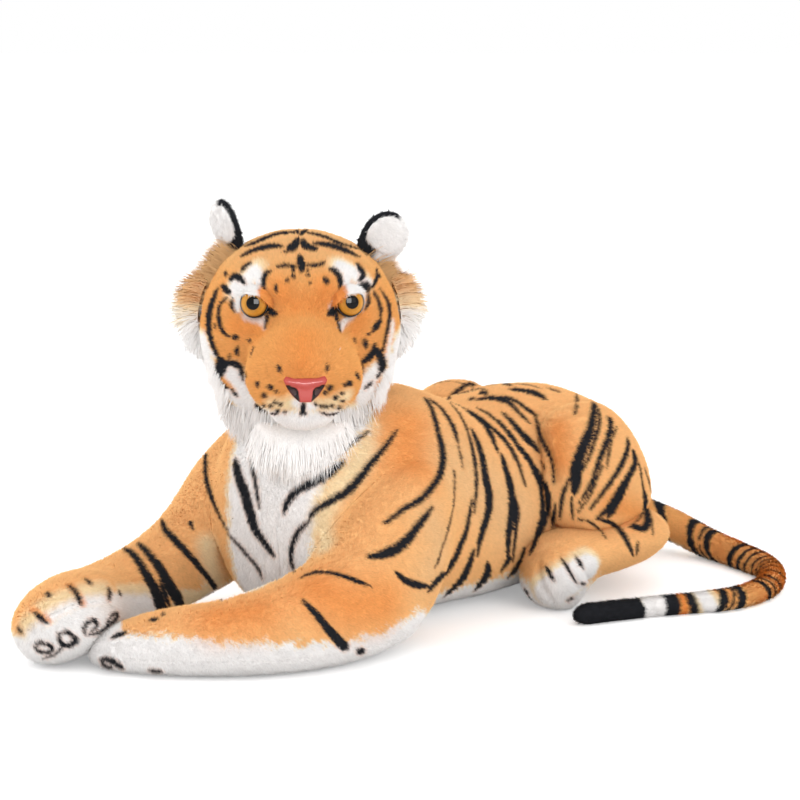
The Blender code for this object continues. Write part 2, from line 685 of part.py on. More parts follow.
# Forelegs: the right paw lies on the left one, so it cuts it
right_size = (FORELEG_SWEEP, RIGHT_FORELEG_REACH, FORELEG_HEIGHT)
right_foreleg = limb(RIGHT_FORELEG_SHARES, -1, SHOULDER_SHARES, right_size, FORELEG_GIRTH, FORELEG_STEPS)
paw = RIGHT_FORELEG_SHARES[PAW_STATION - 1]
sole_facing = Vector(RIGHT_SOLE_FACING_SHARES).normalized()
paw_at = Vector((
    -SHOULDER_SHARES[0] * TORSO_WIDTH + paw[0] * FORELEG_SWEEP,
    along(SHOULDER_SHARES[1]) + paw[1] * RIGHT_FORELEG_REACH,
    paw[4] * FORELEG_GIRTH,
))
sole_at = paw_at + sole_facing * RIGHT_SOLE_OFFSET
panelled("right_foreleg", "right_foreleg_sole", right_foreleg, [torso_room, FLOOR], sole_at, sole_facing)
right_foreleg_room = helper("right_foreleg_room", right_foreleg(GAP))
left_size = (FORELEG_SWEEP, LEFT_FORELEG_REACH, FORELEG_HEIGHT)
left_foreleg = limb(LEFT_FORELEG_SHARES, 1, SHOULDER_SHARES, left_size, FORELEG_GIRTH, FORELEG_STEPS)
cutters = [torso_room, right_foreleg_room, FLOOR]
panelled("left_foreleg", "left_foreleg_sole", left_foreleg, cutters, (0, 0, FORELEG_SEAM_HEIGHT), (0, 0, -1))

# Hind legs: the thigh is sewn down on the lower leg
for side, side_name in ((1, "left"), (-1, "right")):
    size = (HIND_LEG_SPREAD, HIND_LEG_LENGTH, HIND_LEG_GIRTH)
    shares = mirrored(HIND_LEG_SHARES, side)
    hind_leg = limb(shares, side, HIND_LEG_AT_SHARES, size, HIND_LEG_GIRTH, HIND_LEG_STEPS)
    name = f"{side_name}_hind_leg"
    panelled(name, f"{name}_sole", hind_leg, [torso_room, FLOOR], (0, 0, HIND_SEAM_HEIGHT), (0, 0, -1))
    hind_leg_room = helper(f"{side_name}_hind_leg_room", hind_leg(GAP))
    thigh_at = (side * THIGH_AT_SHARES[0] * TORSO_WIDTH, along(THIGH_AT_SHARES[1]))
    size = (THIGH_WIDTH, THIGH_LENGTH, THIGH_HEIGHT)
    thigh_rows = resting(mirrored(THIGH_SHARES, side), thigh_at, size, (THIGH_WIDTH, THIGH_HEIGHT))
    thigh = form(thigh_rows, THIGH_STEPS)
    piece(f"{side_name}_thigh", thigh, ORANGE_PLUSH, [torso_room, hind_leg_room])

# Tail, which swings about its root, with a black tip sewn on
TAIL_FRAME = empty("tail_frame", Matrix.Translation(tail_root))
tail_size = (TAIL_SPREAD, TAIL_REACH, TAIL_ROOT_LIFT)
tail_rows = resting(TAIL_SHARES, (0, 0), tail_size, (TAIL_ROOT_RADIUS, TAIL_ROOT_RADIUS), -tail_root.z)
tail = form(tail_rows, TAIL_STEPS)
points = [Vector(row[:3]) for row in spline(tail_rows, TAIL_STEPS[0])]
left_over = TAIL_TIP_LENGTH
while left_over > 0:
    end = points.pop()
    left_over -= (end - points[-1]).length
tip_facing = (end - points[-1]).normalized()
tip_at = points[-1] - tip_facing * left_over
finishes = (ORANGE_PLUSH, BLACK_PLUSH)
panelled("tail", "tail_tip", tail, [FLOOR], tip_at, tip_facing, finishes, TAIL_FRAME)
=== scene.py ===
"""Looks of a plush tiger lying down, laid out as an add-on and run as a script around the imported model."""

import json
import math

import bmesh
import bpy
import numpy as np
from mathutils import Matrix, Vector
from mathutils.bvhtree import BVHTree

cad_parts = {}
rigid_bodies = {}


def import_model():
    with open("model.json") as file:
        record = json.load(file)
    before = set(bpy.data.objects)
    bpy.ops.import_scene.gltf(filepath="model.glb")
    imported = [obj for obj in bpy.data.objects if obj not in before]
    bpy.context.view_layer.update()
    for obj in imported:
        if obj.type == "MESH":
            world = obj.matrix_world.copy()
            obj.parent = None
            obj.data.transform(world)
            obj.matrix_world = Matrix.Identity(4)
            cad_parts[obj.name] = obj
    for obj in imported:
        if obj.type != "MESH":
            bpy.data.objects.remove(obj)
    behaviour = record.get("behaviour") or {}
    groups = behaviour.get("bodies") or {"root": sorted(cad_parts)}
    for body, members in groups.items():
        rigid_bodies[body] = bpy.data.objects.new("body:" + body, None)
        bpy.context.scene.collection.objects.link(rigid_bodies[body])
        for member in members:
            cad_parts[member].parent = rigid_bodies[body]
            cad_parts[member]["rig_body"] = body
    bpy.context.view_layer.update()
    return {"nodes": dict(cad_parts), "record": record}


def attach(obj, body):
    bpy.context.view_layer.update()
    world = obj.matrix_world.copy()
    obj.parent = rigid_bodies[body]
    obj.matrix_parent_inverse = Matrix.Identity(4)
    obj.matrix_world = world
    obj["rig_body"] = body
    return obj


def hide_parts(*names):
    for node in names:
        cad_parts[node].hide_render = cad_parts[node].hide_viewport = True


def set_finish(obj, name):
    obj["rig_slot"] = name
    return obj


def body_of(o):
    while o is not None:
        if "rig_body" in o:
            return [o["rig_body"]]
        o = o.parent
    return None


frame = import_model()

bl_info = {
    "name": "Plush tiger",
    "version": (1, 0, 0),
    "blender": (4, 5, 0),
    "location": "3D View > Sidebar > Tiger",
    "description": "Builds the stuffed pieces, pile, eyes and nose of a plush tiger around its packed model",
    "category": "Object",
}

MM = 0.001

# The photograph: its middle, its focal length in pixels, and the camera that took it
PHOTO_MIDDLE = 400
PHOTO_FOCAL = 2222
LENS_MM = 100
SENSOR_MM = 36
CAMERA_TURN = math.radians(48)
CAMERA_DROP = math.radians(10)
CAMERA_AWAY = 1650 * MM
LOOKED_AT = Vector((-97 * MM, 30 * MM, 120 * MM))
ACROSS = Vector((math.cos(CAMERA_TURN), math.sin(CAMERA_TURN), 0))
AHEAD = Vector(
    (
        -math.sin(CAMERA_TURN) * math.cos(CAMERA_DROP),
        math.cos(CAMERA_TURN) * math.cos(CAMERA_DROP),
        -math.sin(CAMERA_DROP),
    )
)
UPWARD = ACROSS.cross(AHEAD)
CAMERA_AT = LOOKED_AT - AHEAD * CAMERA_AWAY

# The head's own frame: the face looks along its -Y
HEAD_TURN = math.radians(52.5)
HEAD_AT = Vector((-3 * MM, -143.08 * MM, 200 * MM))
HEAD_FRAME = Matrix.Translation(HEAD_AT) @ Matrix.Rotation(HEAD_TURN, 4, "Z")
HEAD_WAYS = np.array(HEAD_FRAME.to_3x3())
ACROSS_HEAD, BACK_OF_HEAD = HEAD_WAYS.T[:2]

# Skins: each is a copy of CAD nodes, grown to close the seams, remeshed this fine and smoothed so many times
SEAM_GAP = 0.3 * MM
WELD = 0.01 * MM
BODY_VOXEL = 2.6 * MM
HEAD_VOXEL = 2 * MM
TAIL_VOXEL = 1.8 * MM
EAR_VOXEL = 1 * MM
NOSE_VOXEL = 0.45 * MM
SMOOTH_ROUNDS = 24
RUFF_ROUNDS = 12
EAR_ROUNDS = 10
NOSE_ROUNDS = 8
RESTORE_ROUNDS = 60

# The shoulders are eased towards one looser skin, where it lies no farther off than this
GUIDE_VOXEL = 3.2 * MM
GUIDE_ROUNDS = (90, 160)
EASE_REACH = 11 * MM

# The hocks are raised off the floor by this
HOCK_LIFT = 18 * MM

# The muzzle's upper part is slimmer than the CAD's by this share
NARROWING = 0.24

# Swellings and dents of the stuffed face, in millimetres in the head's frame: place, reach, height. They are
# smoothed by so many rounds
SWELL_ROUNDS = 4
FACE_SWELLINGS = (
    (12, -60, 31, 12, 2.4),
    (31, -50, 42, 15, 2.0),
    (30, -57, 24, 12, -3.4),
    (20, -64, 24, 7, -1.6),
    (31, -57, 37, 8, 3.0),
    (20, -62, 33, 7, 2.5),
    (46, -34, 2, 20, 2.2),
    (34, -58, -8, 16, 1.6),
    (19, -90, -28, 14, 3.4),
    (0, -102, -40, 9, -2.0),
)

# The bridge between brow and muzzle is smoothed over this place, this far round it, in the same frame
BRIDGE_AT = (0, -66, 24)
BRIDGE_REACH = 17
BRIDGE_ROUNDS = 70
BRIDGE_SHARE = 0.95

# How far the cutter of a face panel stands off its CAD node
PANEL_GROWTH = 3 * MM

# Lines where stitches or folds press the fabric in: width and depth in mm, points in photograph pixels
PRESSED_LINES = (
    (1.6, 1.2, ((281, 505), (276, 530), (279, 560), (281, 582))),
    (1.4, 0.8, ((231, 500), (231, 540), (233, 570), (235, 596))),
    (1.4, 0.8, ((326, 480), (315, 510), (306, 550), (304, 575))),
    (2.2, 2.4, ((539, 563), (541, 583), (552, 602))),
    (2.2, 2.4, ((561, 557), (568, 570), (578, 587))),
    (2.2, 2.0, ((576, 556), (584, 570), (590, 582))),
    (3.0, 2.2, ((537, 414), (546, 422), (560, 417), (575, 413))),
    (3.0, 1.6, ((548, 402), (541, 410), (537, 420))),
    (2.8, 2.8, ((536, 408), (538, 424), (545, 444), (551, 460), (554, 478))),
    (2.4, 1.0, ((91, 560), (106, 565), (116, 571), (126, 583))),
    (2.4, 0.9, ((99, 556), (115, 561), (128, 571), (134, 580))),
    (2.4, 0.8, ((88, 566), (101, 570), (112, 580))),
)

# Airbrushed strokes: width in mm, where each is widest, and its points in photograph pixels
FACE_STROKES = (
    (2.4, 0.4, ((245.5, 247.4), (254.6, 244), (264.6, 239.4), (276.2, 235.4), (287.8, 233.6),
        (296.9, 233.4))),
    (1.8, 0.3, ((301.9, 233.4), (312.7, 234.6), (324.3, 237.6), (334.2, 242), (345.8, 246.2),
        (359.1, 250.4), (369.1, 254))),
    (1.9, 0.5, ((294.4, 229.5), (296.7, 231.8), (298.7, 235.1))),
    (2.4, 0.6, ((300.7, 235.8), (303.1, 233.4), (307.4, 231.5))),
    (3.1, 0.6, ((241.4, 257.2), (251.3, 252.2), (262.9, 248.4), (274.5, 246.7), (283.2, 247.2))),
    (3.1, 0.4, ((313.5, 243.9), (324.3, 245.1), (335.9, 247.7), (347.5, 252.2), (359.1, 257.7))),
    (4.8, 0.8, ((298.2, 239.1), (296.1, 243.4), (293.4, 247.2), (288.6, 249.7))),
    (4.1, 0.35, ((302.4, 240.2), (304.7, 245.6), (310.2, 248.4), (316.8, 249.4))),
    (1.2, 0.5, ((283.2, 251.4), (287.8, 253))),
    (4.8, 0.45, ((299.1, 255.5), (300.4, 261.3), (301.7, 266.3), (301.1, 272.4))),
    (1.9, 0.4, ((277, 267.3), (283.6, 265.8), (291.1, 266.5), (296.9, 267.4))),
    (1.8, 0.4, ((304.7, 265.5), (314.3, 265.6), (321, 264.6), (325.3, 262.5))),
    (1.8, 0.5, ((291.4, 270.8), (294.8, 270.8))),
    (1.9, 0.5, ((291.4, 276.1), (295.1, 276.4))),
    (1.7, 0.5, ((285.5, 280.7), (288.8, 280))),
    (1.4, 0.5, ((306.4, 270.9), (308.7, 270.6))),
    (1.7, 0.5, ((306.5, 274.9), (309.4, 275.9))),
    (1.2, 0.5, ((309, 282.2), (311.3, 283.9))),
    (2.6, 0.45, ((271.2, 271.6), (266.2, 273.7), (264.2, 280.4), (263.9, 288.2), (266.2, 297.8))),
    (3.1, 0.45, ((328.8, 269.6), (335.1, 271.6), (339.2, 277.9), (340.5, 285.4), (339.5, 292))),
    (1.9, 0.5, ((276.2, 284.2), (275.9, 291.8))),
    (3.1, 0.5, ((323.6, 277.6), (328.4, 283.5))),
    (1.9, 0.6, ((252.1, 262.6), (246, 266.6), (241.7, 271.9))),
    (3.6, 0.5, ((230.2, 280.9), (235.6, 276.2), (240.5, 279.1), (245.7, 283.9))),
    (2.9, 0.6, ((356.1, 264), (360.1, 269.9), (362.6, 275.6), (358.4, 281.2))),
    (4.5, 0.6, ((355.1, 289.5), (361.6, 286.2), (367.1, 287.5), (365.7, 282.2))),
    (1.2, 0.5, ((233.4, 253.3), (224.8, 258.3), (219.8, 265), (217.3, 274.9))),
    (1.7, 0.5, ((226.6, 271.9), (226.3, 276.9))),
    (3.6, 0.5, ((222.8, 285.2), (225.8, 289.2), (230.4, 294.1))),
    (1.3, 0.5, ((364.6, 253.7), (370.7, 258), (375.4, 263.3))),
    (1.8, 0.6, ((375.7, 269.3), (375.7, 277.9), (372, 288.2))),
    (1.4, 0.5, ((378, 274.9), (378.7, 277.9))),
    (3.1, 0.35, ((219.1, 288.2), (214, 299.5), (210.2, 312.7), (209.5, 326), (211.5, 339.3),
        (217.3, 354.2), (220.8, 361.1))),
    (2, 0.5, ((227.3, 297.8), (220.8, 304.4), (219, 316), (221.5, 327.6), (225.6, 333.9), (230.4, 336.3))),
    (3.6, 0.5, ((233.4, 336.6), (237.4, 336.9))),
    (2.6, 0.5, ((238.4, 346.2), (237, 350.9), (238.5, 354.8))),
    (1.9, 0.5, ((248.3, 339.9), (251.3, 340.9))),
    (1.8, 0.5, ((233.1, 298.6), (232.1, 304.4), (234.4, 312.2))),
    (1.4, 0.5, ((215.2, 323.7), (215.5, 328.6))),
    (6.4, 0.5, ((220.8, 357.5), (221.8, 365.8), (219.8, 377.4))),
    (3.1, 0.3, ((215.5, 373.7), (219.8, 381.7), (229.1, 387.7))),
    (1.7, 0.5, ((231.1, 388.7), (238, 396))),
    (3.6, 0.3, ((224.8, 362.8), (234.7, 363.5), (241, 367.8), (243.3, 379.4))),
    (1.4, 0.4, ((230.1, 353.5), (229.4, 361.5))),
    (1.7, 0.5, ((247.7, 372.4), (247, 383))),
    (1.3, 0.5, ((255, 347.2), (251.6, 357.8))),
    (1.8, 0.4, ((379, 288.8), (385, 297.8), (388.6, 308.1), (388.3, 321), (385.6, 334.3),
        (383.3, 345.9), (381, 353.2))),
    (1.8, 0.5, ((373, 291.5), (377.3, 299.5), (380.2, 309.4), (379.7, 320))),
    (3.3, 0.5, ((380, 320.7), (376.7, 325.3), (372.4, 331.3))),
    (1.8, 0.5, ((367.4, 293.2), (368.4, 301.4), (364.7, 310.1))),
    (1.4, 0.5, ((367.1, 333.6), (369.4, 334.3))),
    (3.1, 0.5, ((364.1, 339.3), (366.1, 348.5))),
    (1.1, 0.5, ((353.1, 337.3), (354.8, 342.9))),
    (4.1, 0.5, ((374.4, 343.6), (373.4, 351.2), (368.1, 357.5), (362.1, 362.1))),
    (5, 0.5, ((375.7, 347.5), (379.7, 355.8), (381.7, 365.1), (380.3, 370.8))),
    (1.9, 0.2, ((381.7, 365.8), (380, 371.8), (376.4, 377.7))),
    (1.4, 0.5, ((371.7, 381), (364.4, 388.7))),
    (1.4, 0.5, ((361.6, 359.2), (361.9, 373.1))),
    (1.6, 0.5, ((355.5, 371.8), (358.4, 380))),
    (4.1, 0.4, ((268.6, 306.1), (272.2, 312.7), (276.8, 314.7))),
    (2.1, 0.3, ((268.2, 312.7), (267.2, 321), (265.2, 328.6))),
    (4.3, 0.5, ((336.6, 306.7), (332.2, 311.4), (327.6, 315.4))),
    (2.1, 0.3, ((334.9, 313.1), (337.2, 321), (339.9, 332.6))),
    (2.4, 0.5, ((278.2, 365.1), (280.2, 373.1))),
    (1.8, 0.5, ((326.9, 364.5), (327.3, 371.4))),
    (2.1, 0.5, ((257.6, 381.4), (258.3, 387))),
    (3.1, 0.5, ((268.9, 385.4), (272.2, 388.3))),
    (1.9, 0.5, ((275.2, 391), (277.5, 392.3))),
    (2.6, 0.5, ((262.9, 393.6), (265.9, 396.6))),
    (1.7, 0.5, ((273.5, 401.6), (275.9, 402.9))),
    (1.6, 0.5, ((279.2, 403.6), (281.8, 404.3))),
    (1.7, 0.5, ((269.2, 404.9), (272.2, 406.3))),
    (1.7, 0.5, ((276.2, 409.6), (279.2, 410.7))),
    (1.6, 0.5, ((283.2, 410.6), (286.1, 411.6))),
    (1.4, 0.5, ((262.9, 404.3), (264.9, 405.6))),
    (3.1, 0.5, ((347.5, 382.4), (351.1, 384))),
    (1.9, 0.5, ((343.2, 384.4), (345.5, 385.4))),
    (3.1, 0.5, ((327.9, 389), (331.6, 386.4))),
    (2.6, 0.5, ((323, 393.3), (326.6, 391.7))),
    (1.8, 0.5, ((340.5, 393.6), (343.2, 392.7))),
    (2.5, 0.5, ((334.2, 398.3), (337.9, 396.3))),
    (1.7, 0.5, ((341.5, 401.3), (344.2, 400))),
    (1.8, 0.5, ((314.7, 403.3), (317.6, 404.6))),
    (1.8, 0.5, ((319.6, 405.6), (323, 405.9))),
    (1.7, 0.5, ((324.9, 405.9), (327.9, 405.6))),
    (1.6, 0.5, ((330.6, 405.6), (333.6, 404.9))),
    (1.6, 0.5, ((337.5, 407.6), (340.9, 406.3))),
    (3.3, 0.4, ((256.3, 403.6), (259.9, 408.6), (266.9, 411.9))),
    (1.4, 0.5, ((270.5, 411.9), (277.8, 413.2))),
    (1.4, 0.4, ((320.3, 411.6), (329.6, 413.9), (339.5, 409.6), (347.8, 403.6))),
    (3.1, 0.25, ((303.1, 402.9), (302.9, 408.6), (300.7, 414.9))),
    (1.2, 0.5, ((303.1, 410.6), (306, 414.5))),
)
CHEST_STROKES = (
    (2.9, 0.5, ((212.9, 425), (207.3, 448.2), (205.8, 471.5), (210, 491.4), (217.2, 509.6),
        (227.4, 529.8))),
    (1.8, 0.4, ((227.9, 533.5), (238.5, 544.4), (249.8, 557.7), (258, 567.6), (263.3, 578.9))),
    (6, 0.28, ((235.7, 459.2), (238.5, 474.8), (245.6, 494.7), (250.1, 511.3), (255.4, 528.5),
        (265, 543.1), (274.6, 556.4))),
    (2, 0.4, ((249.4, 448.2), (253.4, 469.8), (257.2, 491.4), (259.4, 507.9))),
    (2.4, 0.5, ((296.2, 477.4), (309.5, 470.1), (322.7, 462.5), (336, 454.9), (349.3, 445.3),
        (359.5, 438.3), (368.3, 431.3))),
    (5.7, 0.72, ((284.2, 513.3), (287.9, 501.6), (296.5, 491.4), (309.8, 483.9), (323.1, 477.1),
        (333.7, 469.1), (343.9, 461.2))),
    (4.5, 0.55, ((397.3, 430), (384.4, 447.9), (372.8, 461.5), (362.9, 474.8), (347.6, 491.4),
        (329.7, 501.6), (314.8, 510.9), (310.1, 518.6))),
    (3.1, 0.2, ((308.8, 520.9), (298.2, 532.5), (293, 544.4), (291, 557.7), (294.7, 573))),
    (6.2, 0.65, ((431.7, 507.6), (419.2, 524.5), (407.6, 539.1), (396, 549.1), (382.8, 554.4),
        (367.5, 557))),
    (2, 0.85, ((301.5, 577.9), (316.1, 572.6), (332.7, 573.3), (349.3, 578.3), (370.5, 586.2))),
    (4.3, 0.6, ((395.4, 572.3), (405.6, 580.9), (417.2, 585.1), (427.5, 586.2))),
    (5.5, 0.9, ((302.5, 600.5), (316.1, 614.1), (328, 629), (338, 640.3), (346.6, 648.6))),
    (3.6, 0.5, ((356.6, 651.2), (363.8, 649.6))),
    (4.1, 0.5, ((461.7, 544.4), (455.4, 556.4), (445.4, 571), (434.2, 582.6), (427.5, 591.5))),
    (2.4, 0.7, ((196.7, 566.3), (208.3, 576.9), (216.6, 589.2), (221.9, 601.5))),
)
FLANK_STROKES = (
    (4.1, 0.5, ((424.2, 398.7), (429.6, 405.5), (434.5, 419), (438.5, 435.1), (441.8, 450),
        (442, 463.8), (438, 477.6), (429.4, 490.2), (417.9, 501.5), (403, 509.7), (391.5, 518.9),
        (384.1, 523.3))),
    (2.5, 0.85, ((429.1, 399.3), (439.7, 407.8), (447.7, 417.9), (453.7, 429.4), (457.1, 443.1))),
    (0.6, 0.3, ((457.4, 443.8), (460.4, 455.8), (462.2, 469.1))),
    (1.9, 0.6, ((449.8, 403.9), (458.1, 413.3), (465, 425.9), (469.5, 439.7), (473.6, 458.1),
        (476, 477.6), (475.5, 494.8), (473.4, 513.2))),
    (4.5, 0.5, ((471.4, 429.6), (477.6, 444.3), (482.2, 460.4), (485.6, 479.9), (488.5, 494.8),
        (487.9, 510.9), (483.5, 526.9), (479.4, 540.7), (476.9, 556.1))),
    (1, 0.6, ((453.7, 470.2), (454.2, 483.3), (452.9, 500.5), (450, 517.8), (445.4, 535),
        (438, 558.9), (434, 568.3))),
    (3, 0.75, ((471.5, 499.4), (468.4, 517.8), (465, 532.7), (459.2, 546.5), (452.6, 560.5))),
    (3, 0.7, ((465.5, 411.7), (477.6, 419.3), (485.8, 427.3), (491.6, 437.4), (497.6, 453))),
    (2.2, 0.65, ((448.9, 403.3), (462.7, 408.7), (477.6, 416.7), (490.2, 427.1), (501.7, 437.4),
        (509.7, 447.7), (515.5, 458.1), (520.1, 469.5), (524.9, 486.1))),
    (3.3, 0.55, ((477.3, 408.7), (490.2, 415.8), (501.7, 425.9), (510.9, 436.3), (519.1, 448),
        (528.3, 459.4), (535.2, 471.8), (540.3, 485.6), (542.1, 500.5), (540.9, 517.8), (536.4, 532.7),
        (532.2, 547.6))),
    (3.5, 0.6, ((528.1, 459.2), (537.3, 471.6), (544.4, 483.3), (548.4, 495.9), (548.3, 507.4),
        (544.4, 520.1), (539.1, 532.7), (535, 544.2), (529.7, 554.5))),
    (3.8, 0.6, ((502.1, 412.5), (509.7, 420.2), (517.8, 429.4), (525.8, 438.5), (533.8, 445.7),
        (538.2, 452.8))),
    (3.1, 0.35, ((476, 400.4), (489.1, 398.5), (500.5, 400), (509.7, 403.9), (518, 412.1), (528.8, 423.2))),
    (2.6, 0.8, ((496.6, 397.2), (507.4, 398.4), (517.8, 402.7), (525.8, 408.5), (533.6, 414.9))),
    (3, 0.3, ((534.1, 413.5), (537.3, 425.9), (542.1, 439.7), (548.8, 452.3), (552.9, 465), (554, 483.8))),
    (5, 0.55, ((501.1, 454.4), (506, 471.8), (510, 486.8), (512, 501.7), (510.9, 517.8),
        (508.1, 535), (507.4, 561.4))),
    (3, 0.5, ((510.9, 490.2), (515.5, 504), (516.8, 513.2), (515.5, 529.2), (512.2, 561.4))),
    (0.7, 0.5, ((540.7, 461), (545.5, 468.9))),
    (2.5, 0.5, ((555.2, 504), (554, 517.8), (551.3, 526.7))),
    (1.8, 0.5, ((468.6, 400.7), (474.6, 398.8))),
    (3, 0.5, ((479.6, 394.7), (484.2, 393.1), (487, 394.9))),
    (2.5, 0.4, ((446.6, 402), (454.6, 394), (465, 386), (477.8, 380.9))),
    (1.3, 0.5, ((469.8, 391.5), (478.7, 389.6), (486.8, 390.6))),
    (3.8, 0.6, ((486.8, 384.8), (501.7, 384.8), (512, 386.2))),
    (3.5, 0.7, ((509.7, 389.6), (523.5, 390.9), (535, 393.8), (545.8, 399.3))),
    (0.8, 0.5, ((514.3, 385.1), (528.1, 385.7), (540.7, 389))),
    (1.3, 0.5, ((547.1, 388.5), (560.2, 392.9))),
)
HAUNCH_STROKES = (
    (1.9, 0.5, ((576.1, 395), (576.8, 402.9), (575.4, 414.6))),
    (7.5, 0.75, ((592.9, 403.9), (592.9, 418.9), (587.9, 435), (582.1, 449.3), (576.4, 467.1),
        (575.7, 481.4), (574.3, 494.3))),
    (2.2, 0.5, ((589.6, 400), (597.9, 410.4), (598.6, 426.1), (593.8, 442.1), (587.5, 460),
        (579.6, 474.3))),
    (3.6, 0.3, ((607.5, 417.5), (610.4, 422.9), (608, 436.8), (601.8, 452.9), (596.4, 467.1),
        (591.1, 483.2), (578.6, 503.9))),
    (1.4, 0.5, ((616.4, 427.5), (611.1, 440.4), (608.2, 454.6), (606.1, 468.6))),
    (1.5, 0.5, ((602.9, 465), (594.6, 483.2), (589.3, 495.7), (577.5, 512.5))),
    (3.3, 0.35, ((626.4, 438.6), (627.1, 449.3), (620, 466.4), (610.7, 481.4), (600, 495.7),
        (589.6, 509.6))),
    (4.6, 0.5, ((632.1, 450.4), (634.3, 463.6), (626.8, 478.6), (617.9, 492.5), (608.6, 506.8),
        (596.1, 518.9))),
    (3.9, 0.8, ((633.2, 460), (625.4, 485), (616.1, 502.9), (606.8, 518.6))),
    (1.3, 0.5, ((638.2, 462.9), (641.8, 485), (643.2, 502.9), (640.4, 517.1), (630.4, 527.1))),
    (4.6, 0.75, ((643.9, 492.1), (646.1, 506.4), (647.1, 518.9), (643.9, 528.6), (629.6, 526.8))),
    (1.2, 0.5, ((643.9, 468.2), (648.2, 483.2), (649.6, 492.9))),
    (1.2, 0.5, ((650.9, 516.4), (652.1, 535.7))),
    (1.5, 0.5, ((571.4, 496.8), (572.5, 519.3))),
    (2.3, 0.5, ((570.4, 476.1), (562.5, 496.1), (559.6, 520))),
    (1.2, 0.5, ((578.6, 518.9), (589.3, 521.6), (598.2, 527.9), (605.7, 538.9))),
    (3.3, 0.6, ((596.4, 518.6), (610.7, 522.5), (620, 531.4), (627.1, 542.1), (632.5, 555.4))),
    (1.7, 0.5, ((637.5, 541.4), (636.1, 555))),
    (2.7, 0.5, ((545.7, 566.4), (553.9, 580.4))),
    (1.9, 0.5, ((560.7, 557.9), (566.8, 567.5), (576.1, 582.9))),
    (2.4, 0.5, ((575.4, 556.8), (582.5, 568.6))),
    (1.9, 0.5, ((525.4, 588.9), (532.9, 601.8))),
    (1.5, 0.5, ((581.1, 583.2), (584.6, 583.6))),
    (1.5, 0.5, ((567.5, 600.7), (572.5, 597.1))),
    (4.4, 0.5, ((473.4, 549.6), (468.2, 565.4), (459.3, 581.4), (443.2, 596.1))),
    (4.9, 0.45, ((486.8, 561.8), (486.4, 574.3), (473.9, 590))),
    (3.9, 0.5, ((523.9, 547.5), (521.8, 560), (507.1, 577.9))),
    (2.8, 0.3, ((510.4, 556.4), (500.4, 571.4))),
)
PAW_STROKES = (
    (4.1, 0.35, ((162.2, 520), (165.8, 530), (179.1, 544.9), (195.7, 563.1), (209.3, 579.7),
        (221.2, 597.6))),
    (6.7, 0.85, ((124.4, 549.2), (134.7, 556.5), (145.9, 574.7), (154.2, 589.7), (159.5, 602.9),
        (163.3, 614.9))),
    (6.7, 0.8, ((138.6, 544.2), (147.6, 553.2), (159.5, 568.1), (167.8, 583), (175.8, 596.3),
        (181.1, 606.6))),
    (2.6, 0.5, ((158.9, 579.7), (164.2, 593), (169.2, 606.2))),
    (2.1, 0.5, ((189.1, 520), (193.4, 529.6))),
    (1.9, 0.6, ((85.2, 578.7), (90.9, 584.7))),
    (2.9, 0.6, ((68.3, 585), (75, 591.3), (78.6, 598.9), (80.6, 605.9))),
    (2.1, 0.5, ((108.1, 587.7), (109.1, 594.6), (107.8, 601.6))),
    (1.2, 0.5, ((118.4, 591.3), (119.7, 596.6))),
    (2.4, 0.5, ((47.1, 592.3), (50.1, 597.3))),
    (2.6, 0.5, ((34.2, 612.9), (40.5, 617.8), (48.1, 623.8))),
    (2.1, 0.5, ((17.9, 627.1), (22.6, 632.8))),
    (2.4, 0.5, ((111.4, 638.1), (119.4, 634.8), (127.4, 632.1))),
    (1.7, 0.5, ((149.6, 621.2), (158.2, 619.2))),
)
SOLE_STROKES = (
    (1.9, 0.5, ((34.8, 646), (39.8, 642.7), (48.1, 644), (52.7, 648.7), (46.4, 652),
        (39.1, 650.7), (34.5, 646.4))),
    (2.6, 0.5, ((61, 633.4), (68.3, 631.8), (73, 636.7), (76.6, 640.1), (69.7, 644.7),
        (63, 644.7), (59.7, 639.1), (58.4, 633.4))),
    (2.1, 0.5, ((84.9, 634.4), (84.2, 627.8), (89.6, 620.8), (95.2, 620.5), (96.5, 626.1), (90.9, 630.8))),
    (1.9, 0.5, ((87.9, 634.8), (96.2, 633.1), (104.8, 627.8), (114.4, 619.5), (116.4, 613.9),
        (112.1, 614.9), (105.5, 623.8))),
    (1.1, 0.5, ((43.8, 658), (54.7, 653.7), (63, 646.4))),
    (2.9, 0.5, ((100.5, 659), (107.8, 659.6), (116.1, 663), (123.7, 668.3))),
    (1.9, 0.5, ((101.2, 661), (106.1, 665.9), (112.8, 666.9))),
    (1.7, 0.5, ((149.3, 669.9), (162.5, 671.2))),
)

